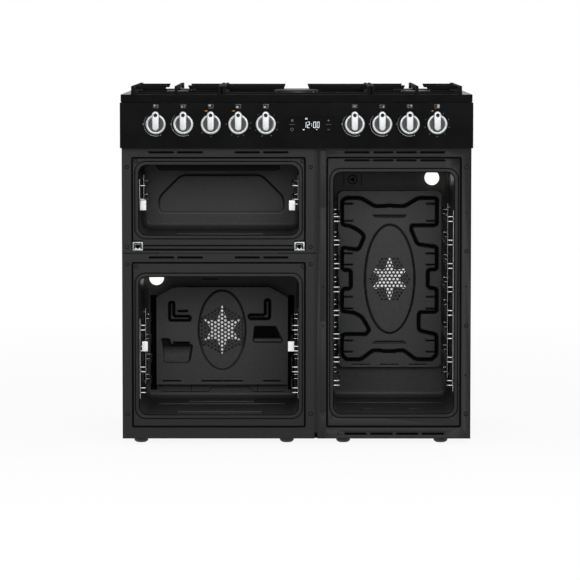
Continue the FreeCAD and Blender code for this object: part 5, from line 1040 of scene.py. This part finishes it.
def knob_shapes(x):
    """One knob's collar, grip bar, dark floor and pointer, each a bmesh."""
    collar = bmesh.new()
    boss = SOCKET_RADIUS + SOCKET_WALL
    socket = [(0.0, SOCKET_END), (SOCKET_RADIUS, SOCKET_END), (SOCKET_RADIUS, KNOB_BACK)]
    skirt = [(24.6, KNOB_BACK), (25.4, KNOB_BACK - 1.0), (RING_OUTER, DISC_FRONT + 2.2)]
    rim = [(RING_OUTER - 0.5, DISC_FRONT + 0.8), (RING_OUTER - 1.8, DISC_FRONT + 0.05),
           (20.5, DISC_FRONT + 0.3), (18.4, DISC_FRONT + 1.2), (RING_INNER, DISC_FRONT + 2.6)]
    dish = [(RING_INNER, FLOOR), (boss, FLOOR), (boss, SOCKET_END - SOCKET_WALL),
            (0.0, SOCKET_END - SOCKET_WALL)]
    lathe(collar, socket + skirt + rim + dish, (x, 0.0, KNOB_Z), steps=64)
    floor = bmesh.new()
    lathe(floor, [(boss + 0.1, FLOOR - 0.1), (boss + 0.1, FLOOR - 0.6), (RING_INNER - 0.1, FLOOR - 0.6),
                  (RING_INNER - 0.1, FLOOR - 0.1), (boss + 0.1, FLOOR - 0.1)], (x, 0.0, KNOB_Z), steps=48)
    low, lobe, half, lobe_half = -16.5, 23.7, 8.6, 9.2
    edge = []
    for step in range(17):
        turn = math.radians(-90 + 180 * step / 16)
        edge.append((lobe_half * math.sin(turn), lobe + lobe_half * math.cos(turn)))
    for step in range(13):
        turn = math.radians(90 + 180 * step / 12)
        edge.append((half * math.sin(turn), low + half + half * math.cos(turn)))
    ring = [collar.verts.new((x + across, FLOOR, KNOB_Z + up)) for across, up in edge]
    base = collar.faces.new(ring)
    pulled = bmesh.ops.extrude_face_region(collar, geom=[base])["geom"]
    top_verts = [vert for vert in pulled if isinstance(vert, bmesh.types.BMVert)]
    bmesh.ops.translate(collar, verts=top_verts, vec=(0.0, GRIP_FRONT + 0.1 - FLOOR, 0.0))
    bmesh.ops.delete(collar, geom=[base], context="FACES_ONLY")
    top = next(part for part in pulled if isinstance(part, bmesh.types.BMFace))
    bmesh.ops.bevel(collar, geom=list(top.edges), offset=2.4, offset_type="OFFSET", segments=4, profile=0.6,
                    affect="EDGES", material=-1)
    bmesh.ops.recalc_face_normals(collar, faces=collar.faces)
    pointer = bmesh.new()
    lathe(pointer, [(0.0, GRIP_FRONT), (4.9, GRIP_FRONT), (5.2, GRIP_FRONT + 0.3), (5.2, GRIP_FRONT + 1.5),
                    (0.0, GRIP_FRONT + 1.5)], (x, 0.0, KNOB_Z + 23.2), steps=32)
    return collar, floor, pointer


# An oven knob carries its own shaft, and a gas knob sits on the spindle of its tap.
GAS_KNOBS = (1, 2, 6, 7, 8)
SHAFT_RADIUS, SHAFT_END = 3.0, -246.6
for number, x in enumerate(KNOB_PLACES, 1):
    body = f"gas_knob_{number}" if number in GAS_KNOBS else f"oven_knob_{number}"
    collar, floor, pointer = knob_shapes(x)
    if number not in GAS_KNOBS:
        lathe(collar, [(0.0, SOCKET_END + 0.2), (SHAFT_RADIUS, SOCKET_END + 0.2), (SHAFT_RADIUS, SHAFT_END),
                       (0.0, SHAFT_END)], (x, 0.0, KNOB_Z), steps=20)
    make(f"knob_shell_{number}", collar, silver, body, (f"knob_{number}",), crease=40)
    make(f"knob_floor_{number}", floor, insert_dark, body)
    make(f"knob_pointer_{number}", pointer, pointer_dark, body)
dress(stem_steel, *[f"gas_spindle_{order}" for order in range(1, 6)])

# ---------------------------------------------------------------- the hob
# The hob plate is one deep-drawn sheet in gloss black enamel, with a raised rim, a well
# that keeps spills in, and a rail at its back.

# Gloss enamel gives deep black with a clear mirror of the room.
hob_enamel = surface("gloss_hob_enamel", ("070708", "0b0b0c"), (0.2, 0.28), 25.0, Specular_IOR_Level=0.015)
rolled("hob", "hob_plate", 1.5, hob_enamel, steps=3)

# ---------------------------------------------------------------- the pan supports
# Three heavy castings in matt black enamel stand over the burners. Their edges are soft
# from the mould, and their fingers slope down to the flames.

# Matt enamel over sand-cast iron gives flat black with a coarse grain.
cast_iron = surface("enamelled_cast_iron", ("0a0a0a", "101010"), (0.62, 0.8), 1.4, bump=0.12,
                    Specular_IOR_Level=0.06)
for side in ("left", "centre", "right"):
    rolled(f"support_{side}_cast", f"pan_support_{side}", 1.1, cast_iron, f"support_{side}")

# ---------------------------------------------------------------- the burners
# Each gas burner is an aluminium cup under the plate, a die-cast crown with a ring of flame
# ports, and a cap of pressed steel in satin black enamel. An ignition pin stands beside it.

BURNERS = {
    "left": [(-307.75, -138.0, 26.0), (-307.75, 118.0, 36.0)],
    "centre": [(0.0, -10.0, 56.0)],
    "right": [(307.75, -138.0, 36.0), (307.75, 118.0, 46.0)],
}
CROWN_LOW, CAP_LOW, CAP_TOP = 896.0, 903.0, 908.0
TOOTH, PIN_GAP = (2.8, 3.2, 5.4, 1.0), 6.0
PIN = [(0.0, 903.5), (0.8, 903.2), (0.9, 901.0), (2.2, 900.6), (2.6, 899.0), (2.6, 896.0), (0.0, 896.0)]
# Die-cast aluminium gives a dull grey with a fine grain.
crown_aluminium = surface("die_cast_aluminium", ("6a6c6e", "808284"), (0.4, 0.55), 1.2, bump=0.05,
                          Metallic=0.85)
# Satin enamel on the caps gives black with a broad soft highlight.
cap_enamel = surface("satin_cap_enamel", ("0f0f10", "161617"), (0.28, 0.4), 3.0, Specular_IOR_Level=0.12)
dress(crown_aluminium, "burner_bodies")
pins = bmesh.new()
for side, places in BURNERS.items():
    caps, crowns = bmesh.new(), bmesh.new()
    for x, y, radius in places:
        cap = radius + 2.0
        lathe(caps, [(0.0, CAP_TOP), (cap * 0.55, CAP_TOP - 0.1), (cap - 4.0, CAP_TOP - 0.5),
                     (cap - 1.2, CAP_TOP - 1.6), (cap - 0.1, CAP_TOP - 3.0), (cap - 0.1, CAP_LOW + 0.6),
                     (cap - 0.8, CAP_LOW), (0.0, CAP_LOW)], (x, y, 0.0), along="z", steps=64)
        teeth = int(radius * 0.75)
        lathe(crowns, [(radius - 6.5, CROWN_LOW), (radius - 0.1, CROWN_LOW), (radius - 0.1, CROWN_LOW + 1.4),
                       (radius - 2.6, CROWN_LOW + 2.0), (radius - 2.6, CAP_LOW), (radius - 6.5, CAP_LOW),
                       (radius - 6.5, CROWN_LOW)], (x, y, 0.0), along="z", steps=64)
        for tooth in range(teeth):
            turn = Matrix.Translation((x, y, (CROWN_LOW + CAP_LOW) / 2 + 0.7)) @ Matrix.Rotation(
                math.tau * tooth / teeth, 4, "Z") @ Matrix.Translation((radius - 1.6, 0, 0))
            bmesh.ops.create_cube(crowns, size=1.0, matrix=turn @ Matrix.Diagonal(TOOTH))
        aside = (radius + PIN_GAP) * 0.7
        lathe(pins, PIN, (x + aside, y - aside, 0.0), along="z", steps=16)
    make(f"caps_{side}", caps, cap_enamel, f"burners_{side}", (f"burner_caps_{side}",))
    make(f"crowns_{side}", crowns, crown_aluminium, f"burners_{side}",
         (f"burner_crowns_{side}",))
make("ignition_pins", pins, ceramic)

# ---------------------------------------------------------------- the back fittings and the feet
# Turned brass taps hang on a zinc-plated rail behind the fascia, and a threaded brass inlet
# leaves it at the back. A grey moulded box takes the mains cable. Black moulded feet level it.

# Turned brass gives warm yellow metal with fine rings round it.
brass = surface("turned_brass", ("a5843f", "bd9a50"), (0.25, 0.4), 1.0, stretch=(1, 4, 1), Metallic=1.0)
# Moulded box plastic gives flat pale grey.
box_plastic = surface("moulded_grey_plastic", ("9b9b97", "a8a8a4"), (0.5, 0.62), 1.2, bump=0.02)
# Moulded foot plastic gives dull black.
foot_plastic = surface("moulded_black_plastic", ("141415", "1e1e1f"), (0.5, 0.65), 1.2, bump=0.02)
dress(brass, "gas_taps")
THREAD_START, THREAD_PITCH, THREAD_TURNS = 301.0, 1.55, 9
inlet = softened("gas_inlet", 0.4, 1)
for turn in range(THREAD_TURNS):
    place = THREAD_START + THREAD_PITCH * turn
    lathe(inlet, [(9.6, place), (10.45, place + 0.4), (10.45, place + 0.7), (9.6, place + 1.1)],
          (-401.52, 0.0, 792.8), steps=32)
make("threaded_inlet", inlet, brass, replaces=("gas_inlet",))
rolled("mains_box", "terminal_box", 1.4, box_plastic)
screws_back = bmesh.new()
for x, z in [(x, z) for x in (333.0, 411.0) for z in (134.0, 82.0)]:
    lathe(screws_back, [(0.0, 312.9), (2.6, 312.8), (3.4, 312.2), (3.4, 311.9)], (x, 0.0, z), steps=16)
make("box_screws", screws_back, zinc)
rolled("feet", "levelling_feet", 1.0, foot_plastic)

# Round-headed screws hold the back sheet.
cover_fittings = bmesh.new()
COVER_SCREWS = [(x, z) for x in (-434.0, 434.0) for z in (40.0, 240.0, 440.0, 640.0, 840.0)]
COVER_SCREWS += [(x, z) for x in (-220.0, 0.0, 220.0) for z in (30.0, 866.0)]
for x, z in COVER_SCREWS:
    lathe(cover_fittings, [(0.0, 288.2), (3.0, 287.9), (4.4, 286.9), (4.6, 286.0)], (x, 0.0, z), steps=16)
make("cover_screws", cover_fittings, zinc)

# A black strip behind the foot of the frames is painted shade: the slots there read as unlit space, and no
# bare tray shows.
foot_shade = bmesh.new()
FOOT_SHADE_CORNERS = ((-444.0, -253.35, 17.0), (444.0, -252.45, 34.0))
block(foot_shade, *FOOT_SHADE_CORNERS)
make("foot_shade_strip", foot_shade, line_shadow)
